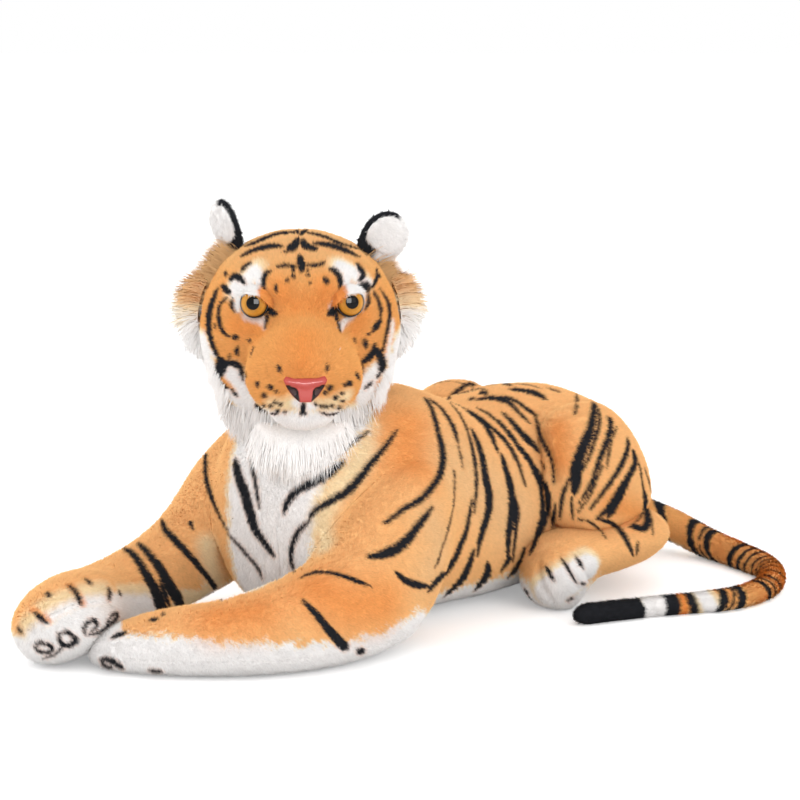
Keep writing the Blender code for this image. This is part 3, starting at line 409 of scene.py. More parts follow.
# Airbrushed shades: colour, width and softness in mm, and points in photograph pixels
FACE_SHADES = (
    ("cream", 15.5, 3.5, ((233, 288), (246, 278), (255, 268))),
    ("cream", 14.3, 3.5, ((339, 265), (352, 271), (365, 280))),
    ("cream", 10.7, 4, ((235, 369), (246, 381), (251, 394))),
    ("cream", 10.7, 4, ((374, 369), (366, 381), (360, 391))),
    ("cream", 9.6, 4, ((273, 404), (286, 404), (296, 399))),
    ("cream", 9.6, 4, ((316, 404), (329, 404), (346, 396))),
    ("white", 11.0, 1.8, ((235, 287), (246, 281), (253, 272))),
    ("white", 8.4, 1.8, ((235, 292), (246, 291), (259, 290))),
    ("white", 6.2, 1.6, ((258, 274), (260, 283), (261, 291))),
    ("white", 5.5, 1.4, ((238, 300), (238, 308))),
    ("white", 4.8, 1.4, ((246, 317), (255, 320), (263, 322))),
    ("white", 3.1, 1.2, ((263, 318), (265, 329))),
    ("white", 11.0, 1.8, ((342, 267), (352, 272), (362, 281))),
    ("white", 7.2, 1.8, ((344, 288), (347, 276))),
    ("white", 6.0, 1.6, ((359, 283), (369, 282))),
    ("white", 5.3, 1.4, ((362, 296), (360, 307))),
    ("white", 4.1, 1.4, ((353, 315), (343, 323), (340, 329))),
    ("white", 3.1, 1.2, ((330, 308), (335, 301))),
    ("white", 14.3, 2.5, ((232, 374), (243, 386), (247, 404))),
    ("white", 13.1, 2.5, ((223, 389), (240, 402))),
    ("white", 6.0, 3, ((205, 336), (207, 349), (211, 366))),
    ("white", 15.5, 2.5, ((376, 372), (367, 384), (366, 399))),
    ("white", 4.8, 3, ((392, 323), (390, 339), (386, 357))),
    ("white", 7.2, 1.8, ((297, 402), (303, 406), (313, 406))),
    ("deep", 14.3, 9, ((281, 291), (286, 299), (293, 306))),
    ("deep", 14.3, 9, ((326, 290), (321, 298), (314, 304))),
    ("deep", 15.5, 14, ((303, 339), (303, 359), (303, 369))),
    ("deep", 10.7, 8, ((235, 326), (250, 328), (260, 334))),
    ("deep", 9.6, 8, ((361, 316), (357, 328))),
)
BODY_SHADES = (
    ("cream", 13, 6, ((25, 625), (48, 604), (80, 592), (109, 590))),
    ("white", 9, 4, ((32, 636), (55, 615), (86, 603), (118, 602))),
    ("deep", 4.6, 1.4, ((33, 609), (40, 615), (48, 621))),
    ("deep", 4.6, 1.4, ((69, 585), (77, 594), (82, 603))),
    ("deep", 3.4, 1.2, ((108.5, 588), (108.5, 600))),
    ("cream", 21.5, 3, ((123, 601), (149, 600))),
    ("white", 17.9, 3, ((116, 608), (149, 608))),
    ("cream", 13.1, 3, ((179, 598), (204, 598))),
    ("cream", 13.1, 6, ((207, 545), (211, 568), (216, 590))),
    ("cream", 14.3, 7, ((369, 447), (354, 470), (334, 493), (323, 520), (326, 546))),
    ("deep", 31.0, 16, ((316, 589), (349, 604), (382, 604))),
    ("deep", 23.9, 16, ((217, 617), (258, 612))),
    ("tan", 31.0, 18, ((432, 523), (439, 546), (432, 566))),
    ("deep", 38.6, 18, ((411, 431), (411, 460))),
    ("tan", 46.3, 22, ((454, 467), (482, 485), (514, 514))),
    ("deep", 15.4, 10, ((557, 428), (561, 460))),
    ("deep", 16.7, 12, ((611, 503), (636, 514))),
    ("cream", 27.0, 2.5, ((548, 590), (564, 580), (586, 567))),
    ("white", 23.1, 1.6, ((550, 594), (564, 583), (586, 571))),
)

# The tail's middle line in mm, from its root to its tip, and its bands as distances from the tip
TAIL_LINE = (
    (0, 139.7, 31.5), (0, 153.7, 31.5), (8, 172.9, 30.3), (27.2, 192.1, 22.3), (60.8, 198.5, 11.9),
    (99.2, 192.1, 9.3), (132.8, 180.9, 8.3), (156, 153.7, 7.8), (165.6, 121.7, 7.5), (162.4, 92.9, 7.1),
    (148.8, 67.3, 6.6), (137.6, 41.7, 6.4), (128, 16.1, 6.5), (122.4, 0.1, 6.4), (119.2, -7.9, 6),
)
TAIL_BANDS = (
    ("cream", 48, 68, 0), ("white", 49, 67, 0), ("black", -10, 50, 1), ("black", 66, 77, 0),
    ("deep", 77, 83, 0), ("black", 83, 91, 2), ("cream", 90, 106, 2), ("white", 92, 103, 3),
    ("black", 104, 110, -2), ("black", 112.5, 115.5, -3), ("black", 118, 124.5, -1),
    ("black", 146, 151.5, 4), ("black", 156, 159, 5), ("black", 165, 169, 6), ("black", 181, 184, 7),
    ("black", 194, 196.5, 7), ("black", 203, 205, 6), ("black", 210, 212, 6), ("black", 217, 220, 5),
    ("black", 227, 230, 5), ("black", 235, 239, 4), ("black", 244, 250, 3), ("black", 270, 277, -6),
    ("black", 281, 284, -6), ("black", 288, 296, -8), ("black", 318, 328, -9),
)

# The ways that the sewn-on pieces face, square to their seams
TAIL_TIP_FACING = Vector((-0.36, -0.933, 0.004)).normalized()
RIGHT_SOLE_FACING = Vector((0.74, -0.10, -0.66)).normalized()
DOWN = Vector((0, 0, -1))

# Strokes lose some width between the fibres, so they are drawn broader by this, and their edges this far out
BROADER = 1.08
EDGE_OUT = 0.32 * MM

# A stroke on a surface that slopes away from the camera runs broader, up to so many times
SLOPE = 3.2

# Shades of deep orange and tan are laid on this strongly, the others fully
FAINT = 0.75

# The flank's strokes are mirrored but for what lies this near the spine
NEAR_SPINE = 20 * MM

# Where the orange of the left foreleg and paw gives way to white, in photograph pixels
FORELEG_EDGE = (
    (95, 114, 124, 149, 182, 216, 259, 300, 350, 390, 415),
    (600, 619, 633, 636, 639, 642, 644, 645, 641, 630, 612),
)

# The upper edge of the left forearm, which hides the chest, in photograph pixels
FOREARM_TOP = ((222, 240, 300, 345), (604, 598, 582, 566))

# Strokes on the rump and on the back of the head, cast from inside: width in mm, then degrees round and up
RUMP_AT = Vector((0, 100 * MM, 58 * MM))
RUMP_STROKES = (
    (5, (6, 76), (26, 72), (48, 64), (62, 54)),
    (6, (4, 57), (20, 55), (36, 47), (48, 37)),
    (5.5, (9, 39), (22, 37), (36, 29), (46, 20)),
    (5, (5, 20), (18, 18), (30, 11), (38, 3)),
    (4, (16, 3), (25, -1), (32, -8)),
)
NAPE_STROKES = (
    (5, (-62, 52), (-34, 58), (0, 56), (34, 58), (62, 52)),
    (5.5, (-66, 30), (-36, 36), (-8, 34)),
    (5.5, (66, 30), (36, 36), (8, 34)),
    (5, (-58, 8), (-30, 13), (0, 10), (30, 13), (58, 8)),
    (5, (-50, -14), (-26, -8), (-6, -10)),
    (5, (50, -14), (26, -8), (6, -10)),
)

# The sole of the right paw, whose seam runs here in the photograph's pixels
SOLE_SEAM = ((10, 20, 33, 45, 63, 80, 93, 120), (636, 637, 636, 629, 617, 609, 607, 604))

# The studio: the level of light from all round, how much lighter the floor looks to the camera, the floor's
# own grey, and half its width in m
AMBIENT = 1.24
FLOOR_LIFT = 0.3
FLOOR_GREY = 0.92
FLOOR_HALF = 30

# The lamps: which way they stand, how far off and how wide in m, and their power in W
LAMPS = (
    ("key_lamp", (-0.45, -1, 0.45), 1.7, 0.9, 3.6),
    ("fill_lamp", (1, -0.1, 0.4), 1.9, 1, 4.5),
    ("catch_lamp", (0.73, -0.57, 0.38), 1.9, 1, 70),
)

# What the skins are made of: each body piece with its panel and the way that panel faces
SLOTS = {row["node"]: row["material_slot"] for row in frame["record"]["subparts"]}
SEWN = (
    ("torso", "belly_panel", DOWN),
    ("left_foreleg", "left_foreleg_sole", DOWN),
    ("right_foreleg", "right_foreleg_sole", RIGHT_SOLE_FACING),
    ("left_hind_leg", "left_hind_leg_sole", DOWN),
    ("right_hind_leg", "right_hind_leg_sole", DOWN),
)
THIGHS = ("left_thigh", "right_thigh")
BODY_SKINS = [f"{name}_plush" for pair in SEWN for name in pair[:2]] + [f"{name}_plush" for name in THIGHS]
FACE_SKINS = ["head_plush", "muzzle_plush", "chin_plush"]

# Each ear's pieces, with the kind of their coat and their body, then where the backs sit, as below
EARS = (
    ("left_ear_back", "left", "left_ear"),
    ("left_ear_lining", "white", "left_ear"),
    ("right_ear_back", "right", "right_ear"),
    ("right_ear_lining", "white", "right_ear"),
)
EAR_PLACES = {
    "left": (
        (27.55, -107.39, 249.55), (0.2232, 0.7985, -0.559),
        (-0.9067, 0.3806, 0.1816), (0.3578, 0.4663, 0.809),
    ),
    "right": (
        (-31.96, -175.4, 254.76), (0.9858, -0.1083, 0.1282),
        (0.0805, 0.9754, 0.2052), (-0.1473, -0.1919, 0.9703),
    ),
}

# Each eyelid with its eye, and which way along the eye's X is outwards
LIDS = {"left_lid": ("left", 1), "right_lid": ("right", -1)}
RUFFS = ("left_cheek_ruff", "right_cheek_ruff", "throat_ruff")

# Where the moulded pieces sit: middle in mm, then their own X, Y and Z ways; -Y points out of the face
EYE_PLACES = {
    "left": (
        (59.86, -153.96, 224.45), (0.4323, 0.9017, 0),
        (-0.8912, 0.4272, -0.1527), (-0.1377, 0.066, 0.9883),
    ),
    "right": (
        (23.78, -200.98, 224.45), (0.7591, 0.6509, 0),
        (-0.6433, 0.7502, -0.1527), (-0.0994, 0.1159, 0.9883),
    ),
}
NOSE_PLACE = ((75.48, -203.3, 176.96), (0.6088, 0.7934, 0), (-0.7934, 0.6088, 0), (0, 0, 1))

# The eyes' domes in mm: the steps of their arc, where their flat backs lie and how far they are set in
ARC_STEPS = 12
DOME_BACK = -1.95
DOME_SUNK = 2.05

# The collars' outline in mm: radius past the dome's edge, and height
COLLAR = ((-0.4, -1.9), (-0.2, -2.3), (0.1, -2.4), (0.3, -1.8), (0.3, 1))

# The eyelids in mm: clearance over the dome, thickness, where they end behind and below, and their two edges,
# each with a place outwards and up, and the way over it
LID_CLEARANCE = 2
LID_THICKNESS = 1.3
LID_BACK = -0.6
LID_FOOT = -3
LID_EDGES = (((0, 5.6), (-0.12, 1)), ((-5.6, 3.6), (-0.72, 0.69)))

# The nose in mm from its middle: the nostrils' and the rolled top's lines, with their half widths
NOSTRIL = ((10.6, 1.2, 2.2), (8.2, -1.9, 4), (6.4, -6.6, 2.9))
NOSE_ROLL = ((-12, 1.2), (-6, 1.7), (0, 2), (6, 1.7), (12, 1.2))
ROLL_HEIGHT = 2.2
NOSTRIL_DEPTH = 1.2

# The ruff in mm: how far in its skins lie under the hair, how they are swept back and narrowed, how far the
# throat's top is moved, and how thick the hair stands on the head beside them
RUFF_SEED = 41
RUFF_SINK = 4
RUFF_SWEEP = 0.75
RUFF_NARROWING = 0.15
THROAT_SHIFT = 7
HEAD_HAIR_SHARE = 0.8

# The pile: how far fibres stray from the way they are combed, and how much their lean and shade differ
PILE_SEED = 7
STRAY = 0.28
LEAN_SPREAD = math.radians(11)
SHADE_SPREAD = 0.05

# The pile is thinned on the torso, the largest piece, to keep it under 200,000 triangles
TORSO_SHARE = 0.78

# Fibres stay this high over the floor, and none grow where a piece rests on it or has another over it
LOWEST = 0.3 * MM
BARE_BELOW = 1.2 * MM
COVER_START = 0.3 * MM
COVER_REACH = 3 * MM


def linear(hex_code):
    """An sRGB hex code as linear RGB."""
    parts = [int(hex_code[k : k + 2], 16) / 255 for k in (1, 3, 5)]
    return [c / 12.92 if c <= 0.04045 else ((c + 0.055) / 1.055) ** 2.4 for c in parts]


def colour_property(name, hex_code, description):
    """A colour that a user may change."""
    return bpy.props.FloatVectorProperty(
        name=name, description=description, subtype="COLOR", size=3, min=0, max=1, default=linear(hex_code)
    )


def length_property(name, default, description):
    """A length that a user may change."""
    return bpy.props.FloatProperty(
        name=name, description=description, subtype="DISTANCE", unit="LENGTH", min=0, default=default
    )


class TigerCoat(bpy.types.PropertyGroup):
    """The colours airbrushed on the plush."""

    orange: colour_property("Orange", "#EDB06A", "Tail, brow and sides of the head")
    fawn: colour_property("Fawn", "#FAC282", "Body, limbs and back, paler than the face")
    tawny: colour_property("Tawny", "#E8A058", "Muzzle and cheeks")
    deep: colour_property("Deep orange", "#F0984A", "Brow, nose bridge, shoulders and forelegs")
    tan: colour_property("Tan", "#EAC08C", "Paler orange low on the flanks")
    cream: colour_property("Cream", "#F8E0B4", "Where the orange fades out")
    white: colour_property("White", "#F8F5F3", "Undyed plush of the chest, belly, paws and lower face")
    black: colour_property("Black", "#1E1F24", "Stripes, ear edges and tail tip")
    rust: colour_property("Rust", "#E2AE72", "Top of the ruff behind the cheeks")


class TigerPile(bpy.types.PropertyGroup):
    """The short pile of the plush."""

    length: length_property("Length", 2.8 * MM, "How long the fibres are")
    width: length_property("Width", 0.55 * MM, "How wide a bundle of fibres is at its root")
    per_mm2: bpy.props.FloatProperty(
        name="Bundles per mm²", description="How many bundles of fibres stand on each mm²", default=1.8, min=0
    )
    lean: bpy.props.FloatProperty(
        name="Lean", description="How far the pile is brushed over", subtype="ANGLE", default=math.radians(58)
    )


class TigerRuff(bpy.types.PropertyGroup):
    """The long hair round the cheeks and throat."""

    length: length_property("Length", 17 * MM, "How long the hair is")
    width: length_property("Width", 0.5 * MM, "How wide a lock is at its root")
    per_mm2: bpy.props.FloatProperty(
        name="Hairs per mm²", description="How many hairs stand on each mm²", default=2.2, min=0
    )


class TigerFace(bpy.types.PropertyGroup):
    """The moulded eyes and nose."""

    eye_size: length_property("Eye size", 18 * MM, "How wide each eye is")
    eye_rise: length_property("Eye rise", 5.5 * MM, "How far each dome stands up")
    pupil_share: bpy.props.FloatProperty(
        name="Pupil", description="Pupil as a share of the eye", subtype="FACTOR", default=0.47, min=0, max=1
    )
    iris: colour_property("Iris", "#C58834", "Amber of the irises")
    nose: colour_property("Nose", "#B9504A", "Pink of the nose")
    nostril: colour_property("Nostril", "#0E0C0D", "Black inside the nostrils")


def grid_of(points):
    """Vectors or tuples as an array."""
    return np.array(points, float)


def unit(vectors):
    """Rows of vectors, each of length 1."""
    return vectors / np.maximum(np.linalg.norm(vectors, axis=1), 1e-12)[:, None]


def smooth_step(low, high, value):
    """0 below low, 1 above high, and smooth between."""
    t = np.clip((value - low) / (high - low), 0, 1)
    return t * t * (3 - 2 * t)


def ripple(points, size, seed):
    """Smooth noise of about -1 to 1 with swells about size across, the same at every run."""
    rng = np.random.default_rng(seed)
    total = np.zeros(len(points))
    for _ in range(7):
        way = rng.normal(size=3)
        way *= 2 * math.pi / size * rng.uniform(0.6, 1.7) / np.linalg.norm(way)
        total += np.sin(points @ way + rng.uniform(0, 2 * math.pi))
    return total / 3.2


def link(name, data):
    """A new object of a mesh, lamp or camera, in the scene."""
    obj = bpy.data.objects.new(name, data)
    bpy.context.scene.collection.objects.link(obj)
    return obj


def finished(name, bm):
    """A new object of a bmesh, with its doubles merged and its faces turned out."""
    bmesh.ops.remove_doubles(bm, verts=bm.verts, dist=WELD)
    bmesh.ops.recalc_face_normals(bm, faces=bm.faces)
    mesh = bpy.data.meshes.new(name)
    bm.to_mesh(mesh)
    bm.free()
    mesh.shade_smooth()
    return link(name, mesh)


def applied(obj):
    """Applies the object's modifiers to its mesh."""
    made = bpy.data.meshes.new_from_object(obj.evaluated_get(bpy.context.evaluated_depsgraph_get()))
    obj.modifiers.clear()
    old = obj.data
    obj.data = made
    bpy.data.meshes.remove(old)


def read(mesh):
    """The mesh's points and normals as arrays."""
    points = np.empty(len(mesh.vertices) * 3, np.float32)
    normals = np.empty(len(mesh.vertices) * 3, np.float32)
    mesh.vertices.foreach_get("co", points)
    mesh.vertex_normals.foreach_get("vector", normals)
    return points.reshape(-1, 3).astype(float), normals.reshape(-1, 3).astype(float)


def edges_of(mesh):
    """The mesh's edges as pairs of point numbers."""
    edges = np.empty(len(mesh.edges) * 2, np.int32)
    mesh.edges.foreach_get("vertices", edges)
    return edges.reshape(-1, 2)


def write(mesh, points):
    """Moves the mesh's points."""
    mesh.vertices.foreach_set("co", points.astype(np.float32).ravel())
    mesh.update()


def tree_of(*objects):
    """One tree of several objects' faces, to find places on them."""
    whole = bmesh.new()
    for obj in objects:
        whole.from_mesh(obj.data)
    tree = BVHTree.FromBMesh(whole)
    whole.free()
    return tree


def copy_of(name, by):
    """A copy of a CAD node's mesh with its doubles merged, grown by a clearance."""
    bm = bmesh.new()
    bm.from_mesh(frame["nodes"][name].data)
    bmesh.ops.remove_doubles(bm, verts=bm.verts, dist=WELD)
    bm.normal_update()
    for vert, out in [(vert, vert.normal * vert.calc_shell_factor()) for vert in bm.verts]:
        vert.co += out * by
    mesh = bpy.data.meshes.new(name)
    bm.to_mesh(mesh)
    bm.free()
    return mesh


def averaged(values, edges, rounds):
    """Values at a mesh's points, each moved halfway to its neighbours' mean, round after round."""
    one, two = edges.T
    size = len(values)
    count = np.maximum(np.bincount(edges.ravel(), minlength=size), 1)
    values = values.reshape(size, -1)
    for _ in range(rounds):
        mean = [
            (np.bincount(one, column[two], size) + np.bincount(two, column[one], size)) / count
            for column in values.T
        ]
        values = 0.5 * (values + np.stack(mean, axis=1))
    return values


def skin(name, nodes, voxel, rounds=SMOOTH_ROUNDS, restore=RESTORE_ROUNDS):
    """One closed skin over CAD nodes that are sewn together, smoothed without loss of girth."""
    whole = bmesh.new()
    for node in nodes:
        part = copy_of(node, SEAM_GAP if len(nodes) > 1 else 0)
        whole.from_mesh(part)
        bpy.data.meshes.remove(part)
    mesh = bpy.data.meshes.new(name)
    whole.to_mesh(mesh)
    whole.free()
    obj = link(name, mesh)
    change = obj.modifiers.new("Fabric", "REMESH")
    change.mode = "VOXEL"
    change.voxel_size = voxel
    applied(obj)
    points, _ = read(obj.data)
    edges = edges_of(obj.data)
    eased = averaged(points, edges, rounds)
    write(obj.data, eased)
    _, normals = read(obj.data)
    lost = averaged(((points - eased) * normals).sum(axis=1), edges, restore)
    write(obj.data, eased + normals * lost)
    obj.data.shade_smooth()
    return obj


def cut(obj, name, place, facing):
    """Parts a skin at a seam plane, and gives the piece beyond the plane, under its own name."""
    beyond = link(name, obj.data.copy())
    for half, way in ((obj, facing), (beyond, -facing)):
        bm = bmesh.new()
        bm.from_mesh(half.data)
        found = bmesh.ops.bisect_plane(
            bm,
            geom=[*bm.verts, *bm.edges, *bm.faces],
            plane_co=place,
            plane_no=way,
            clear_outer=True,
        )
        edges = [edge for edge in found["geom_cut"] if isinstance(edge, bmesh.types.BMEdge)]
        filled = bmesh.ops.edgeloop_fill(bm, edges=edges)
        for face in bmesh.ops.triangulate(bm, faces=filled["faces"])["faces"]:
            face.smooth = False
        bmesh.ops.recalc_face_normals(bm, faces=bm.faces)
        bm.to_mesh(half.data)
        bm.free()
    return beyond


def seam_of(panel, facing):
    """The seam plane's place: how near the panel comes against its facing."""
    points = [vert.co for vert in frame["nodes"][panel].data.vertices]
    return min(points, key=lambda point: point.dot(facing))


def drawn(points):
    """A smooth curve through points of the photograph, read at a few places along each span."""
    rows = grid_of(points)
    ends = [2 * rows[0] - rows[1], *rows, 2 * rows[-1] - rows[-2]]
    out = []
    for k in range(len(rows) - 1):
        a, b, c, d = ends[k : k + 4]
        for f in (0, 1 / 3, 2 / 3):
            out.append(
                b
                + 0.5 * (c - a) * f
                + (a - 2.5 * b + 2 * c - 0.5 * d) * f**2
                + (1.5 * b - 0.5 * a - 1.5 * c + 0.5 * d) * f**3
            )
    return [*out, rows[-1]]


def laid(points, tree):
    """Points of the photograph carried along the camera's rays onto what the tree holds."""
    away = CAMERA_AWAY
    path = []
    for x, y in drawn(points):
        right, up = (x - PHOTO_MIDDLE) / PHOTO_FOCAL, (PHOTO_MIDDLE - y) / PHOTO_FOCAL
        ray = AHEAD + ACROSS * right + UPWARD * up
        ray.normalize()
        hit = tree.ray_cast(CAMERA_AT, ray)
        if hit[0] is None:
            hit = tree.find_nearest(CAMERA_AT + ray * away)
        else:
            away = hit[3]
        path.append(hit[0])
    return grid_of(path)


def brushed(strokes, tree):
    """Strokes as paths on the surface, with half widths that swell to a peak, and whence they are seen."""
    lines = []
    for width, peak, points in strokes:
        path = laid(points, tree)
        at = np.linspace(0, 1, len(path))
        swell = np.minimum(at / peak, (1 - at) / (1 - peak))
        half = (0.2 + 0.8 * np.clip(swell, 0, 1) ** 0.5) * width * BROADER * MM / 2
        lines.append((path, half, grid_of(CAMERA_AT)))
    return lines


def flipped(lines):
    """The same lines on the other side of the body, but for what lies near the spine."""
    out = []
    for path, half, *eye in lines:
        kept = np.flatnonzero(path[:, 0] > NEAR_SPINE)
        for run in np.split(kept, np.flatnonzero(np.diff(kept) > 1) + 1):
            if len(run) > 1:
                out.append((path[run] * (-1, 1, 1), half[run], *(place * (-1, 1, 1) for place in eye)))
    return out


def added(strokes, tree, place):
    """Hidden strokes, cast outwards from inside by their degrees round from the back, and up."""
    lines = []
    for width, *points in strokes:
        path = []
        for turn, up in drawn(points):
            turn, up = math.radians(turn), math.radians(up)
            way = Vector((math.sin(turn) * math.cos(up), math.cos(turn) * math.cos(up), math.sin(up)))
            hit = tree.ray_cast(place.translation, (place.to_3x3() @ way).normalized())[0]
            if hit is not None:
                path.append(hit)
        if len(path) > 1:
            at = np.linspace(0, 1, len(path))
            lines.append((grid_of(path), (0.3 + 0.7 * np.sin(math.pi * at)) * width * MM / 2))
    return lines


def reach_of(points, lines, most):
    """How far each point lies outside the nearest line's edge, up to the most that matters.

    A line that is seen from a place has its width across that view, so it runs broader on a slope.
    """
    gap = np.full(len(points), most)
    for path, half, *eye in lines:
        margin = most + half.max() * (SLOPE if eye else 1)
        near = np.flatnonzero(((points > path.min(0) - margin) & (points < path.max(0) + margin)).all(axis=1))
        if not len(near):
            continue
        some = points[near]
        least = gap[near]
        for a, b, thick, thin in zip(path, path[1:], half, half[1:]):
            along = b - a
            t = np.clip((some - a) @ along / max(along @ along, 1e-12), 0, 1)
            across = some - a - t[:, None] * along
            away = np.linalg.norm(across, axis=1)
            wide = thick + t * (thin - thick)
            if eye:
                ray = (a - eye[0]) / np.linalg.norm(a - eye[0])
                flat = np.linalg.norm(across - (across @ ray)[:, None] * ray, axis=1)
                away = np.maximum(flat, away - (SLOPE - 1) * wide - MM)
            least = np.minimum(least, away - wide)
        gap[near] = least
    return gap


def painted(colours, shade, share):
    """Colours mixed with a shade, each by its own share."""
    return colours + (grid_of(shade) - colours) * share[:, None]


PAINT = {}


def lines_of(kind):
    """The painted lines of the body or the face, laid on it once."""
    if kind not in PAINT:
        names = BODY_SKINS if kind == "body" else FACE_SKINS
        tree = tree_of(*[bpy.data.objects[name] for name in names])
        if kind == "body":
            both = brushed(FLANK_STROKES + HAUNCH_STROKES, tree)
            own = brushed(CHEST_STROKES + PAW_STROKES + SOLE_STROKES, tree)
            rump = added(RUMP_STROKES, tree, Matrix.Translation(RUMP_AT))
            black = both + own + flipped(both) + rump + [(path * (-1, 1, 1), half) for path, half in rump]
            shades = BODY_SHADES
        else:
            black = brushed(FACE_STROKES, tree) + added(NAPE_STROKES, tree, HEAD_FRAME)
            shades = FACE_SHADES
        soft = []
        for shade, width, blur, points in shades:
            path = laid(points, tree)
            soft.append((shade, blur * MM, (path, np.full(len(path), width * MM / 2))))
        PAINT[kind] = (black, soft)
    return PAINT[kind]


def tail_reach(points):
    """How far each point is from the tail's tip along its middle line, and which way round it."""
    line = grid_of(drawn(TAIL_LINE)) * MM
    steps = np.linalg.norm(np.diff(line, axis=0), axis=1)
    from_tip = steps.sum() - np.concatenate([[0], np.cumsum(steps)])
    best = np.full(len(points), 1e9)
    reach = np.zeros(len(points))
    side = np.zeros(len(points))
    for a, b, start, length in zip(line, line[1:], from_tip, steps):
        along = (b - a) / length
        t = (points - a) @ along
        held = np.clip(t, 0, length)
        out = points - a - held[:, None] * along
        gap = np.linalg.norm(out, axis=1)
        nearer = gap < best
        best[nearer] = gap[nearer]
        reach[nearer] = start - t[nearer]
        side[nearer] = out[nearer, 2] / np.maximum(gap[nearer], 1e-9)
    return reach, side


def in_head(points):
    """Points in millimetres in the head's own frame."""
    return (points - grid_of(HEAD_AT)) @ HEAD_WAYS / MM


def in_seat(points, place):
    """Points in millimetres along the ways of a place."""
    return (points - grid_of(place[0]) * MM) @ grid_of(place[1:]).T / MM


def to_left(points):
    """Points of either side of the body as they lie on its left."""
    return np.abs(points * (1, 0, 0)) + points * (0, 1, 1)


def all_of(shade, points):
    """One shade for every point."""
    return np.tile(grid_of(shade), (len(points), 1))


def seen_at(points):
    """Where points show in the photograph, in its pixels."""
    ray = points - grid_of(CAMERA_AT)
    depth = ray @ grid_of(AHEAD) / PHOTO_FOCAL
    return PHOTO_MIDDLE + ray @ grid_of(ACROSS) / depth, PHOTO_MIDDLE - ray @ grid_of(UPWARD) / depth


def white_share(points):
    """How much of the body's undyed white shows: the belly, the chest and the undersides of the limbs."""
    x, y, z = points.T / MM
    speckle = ripple(points, 1.8 * MM, 5) * 3.5 + ripple(points, 14 * MM, 6) * 2
    px, py = seen_at(points)
    behind, _ = seen_at(to_left(points))
    low = 1 - smooth_step(15, 26, z + speckle)
    low *= 1 - smooth_step(582, 600, behind + 2 * speckle) * (y > 0)
    edge = np.interp(px, *FORELEG_EDGE)
    limb = (y < -100) & (z < 60) & (py > 597) & (px > 100)
    low = np.where(limb & (px < 430), smooth_step(-5, 5, py - edge - speckle * 1.2), low)
    paw = (y < -150) & (px < 122)
    low = np.where(paw, np.maximum(low, smooth_step(-3, 3, py - np.interp(px, *SOLE_SEAM))), low)
    low = np.maximum(low, 1 - smooth_step(8, 14, z))
    front = smooth_step(112, 140, -y) * (1 - smooth_step(28, 46, np.abs(x - 15) + speckle))
    chest = (px > 222) & (px < 345) & (py < np.interp(px, *FOREARM_TOP) - 2)
    front *= np.where(chest, 1, smooth_step(70, 90, z))
    return np.clip(np.maximum(low, front * (1 - smooth_step(150, 190, z))), 0, 1)


def banded(colours, points, look):
    """The tail's coat: paler underneath, with its bands."""
    reach, side = tail_reach(points)
    colours = painted(colours, look.cream, smooth_step(0.35, 0.9, -side) * 0.8)
    for shade, start, end, slant in TAIL_BANDS:
        at = reach / MM + slant * side + ripple(points, 5 * MM, 9) * 0.5
        soft = 0.5 if shade == "black" else 1.5
        begun = smooth_step(start - soft, start + soft, at)
        ended = smooth_step(end - soft, end + soft, at)
        colours = painted(colours, getattr(look, shade), begun * (1 - ended))
    return colours


def body_ground(colours, points, look):
    """The body's coat before its strokes: fawn, fading to white below."""
    colours = painted(colours, look.fawn, np.full(len(points), 0.85))
    white = white_share(points)
    colours = painted(colours, look.cream, smooth_step(0, 0.35, white))
    return painted(colours, look.white, smooth_step(0.3, 0.7, white))


def face_ground(colours, points, look):
    """The face's coat before its strokes: orange above, fading to white on the cheeks, lips and chin."""
    x, y, z = in_head(points).T
    colours = painted(colours, look.tawny, 0.8 * (1 - smooth_step(5, 55, z)))
    colours = painted(colours, look.tan, 0.5 * smooth_step(35, 60, z))
    low = smooth_step(38, 60, -z + 0.12 * np.abs(x) + ripple(points, 12 * MM, 3) * 3)
    cheek = smooth_step(0, 5, np.abs(x) - 57 - 0.3 * z + ripple(points, 8 * MM, 12) * 1.5)
    low = np.maximum(low, cheek * (1 - smooth_step(-4, 8, z)))
    lips = smooth_step(30, 42, -z + ripple(points, 2 * MM, 4) * 2) * smooth_step(55, 66, -y)
    low = np.maximum(low, lips * 0.9)
    colours = painted(colours, look.cream, smooth_step(0, 0.5, low))
    return painted(colours, look.white, smooth_step(0.3, 0.9, low))


def striped(colours, points, look, kind):
    """The soft shades and black strokes of the body or the face, with ragged edges."""
    black, soft = lines_of(kind)
    rough = ripple(points, 2.2 * MM, 7) * 0.25 * MM + ripple(points, 1.1 * MM, 8) * 0.12 * MM
    for shade, blur, line in soft:
        gap = reach_of(points, [line], 2 * blur)
        share = 1 - smooth_step(-blur, blur, gap + rough * 3)
        colours = painted(colours, getattr(look, shade), share * (FAINT if shade in ("deep", "tan") else 1))
    gap = reach_of(points, black, 3 * MM) - EDGE_OUT
    halo = 1 - smooth_step(0, 1.6 * MM, gap + rough * 2)
    colours = painted(colours, look.deep, halo * 0.25)
    return painted(colours, look.black, 1 - smooth_step(-0.25 * MM, 0.3 * MM, gap + rough))


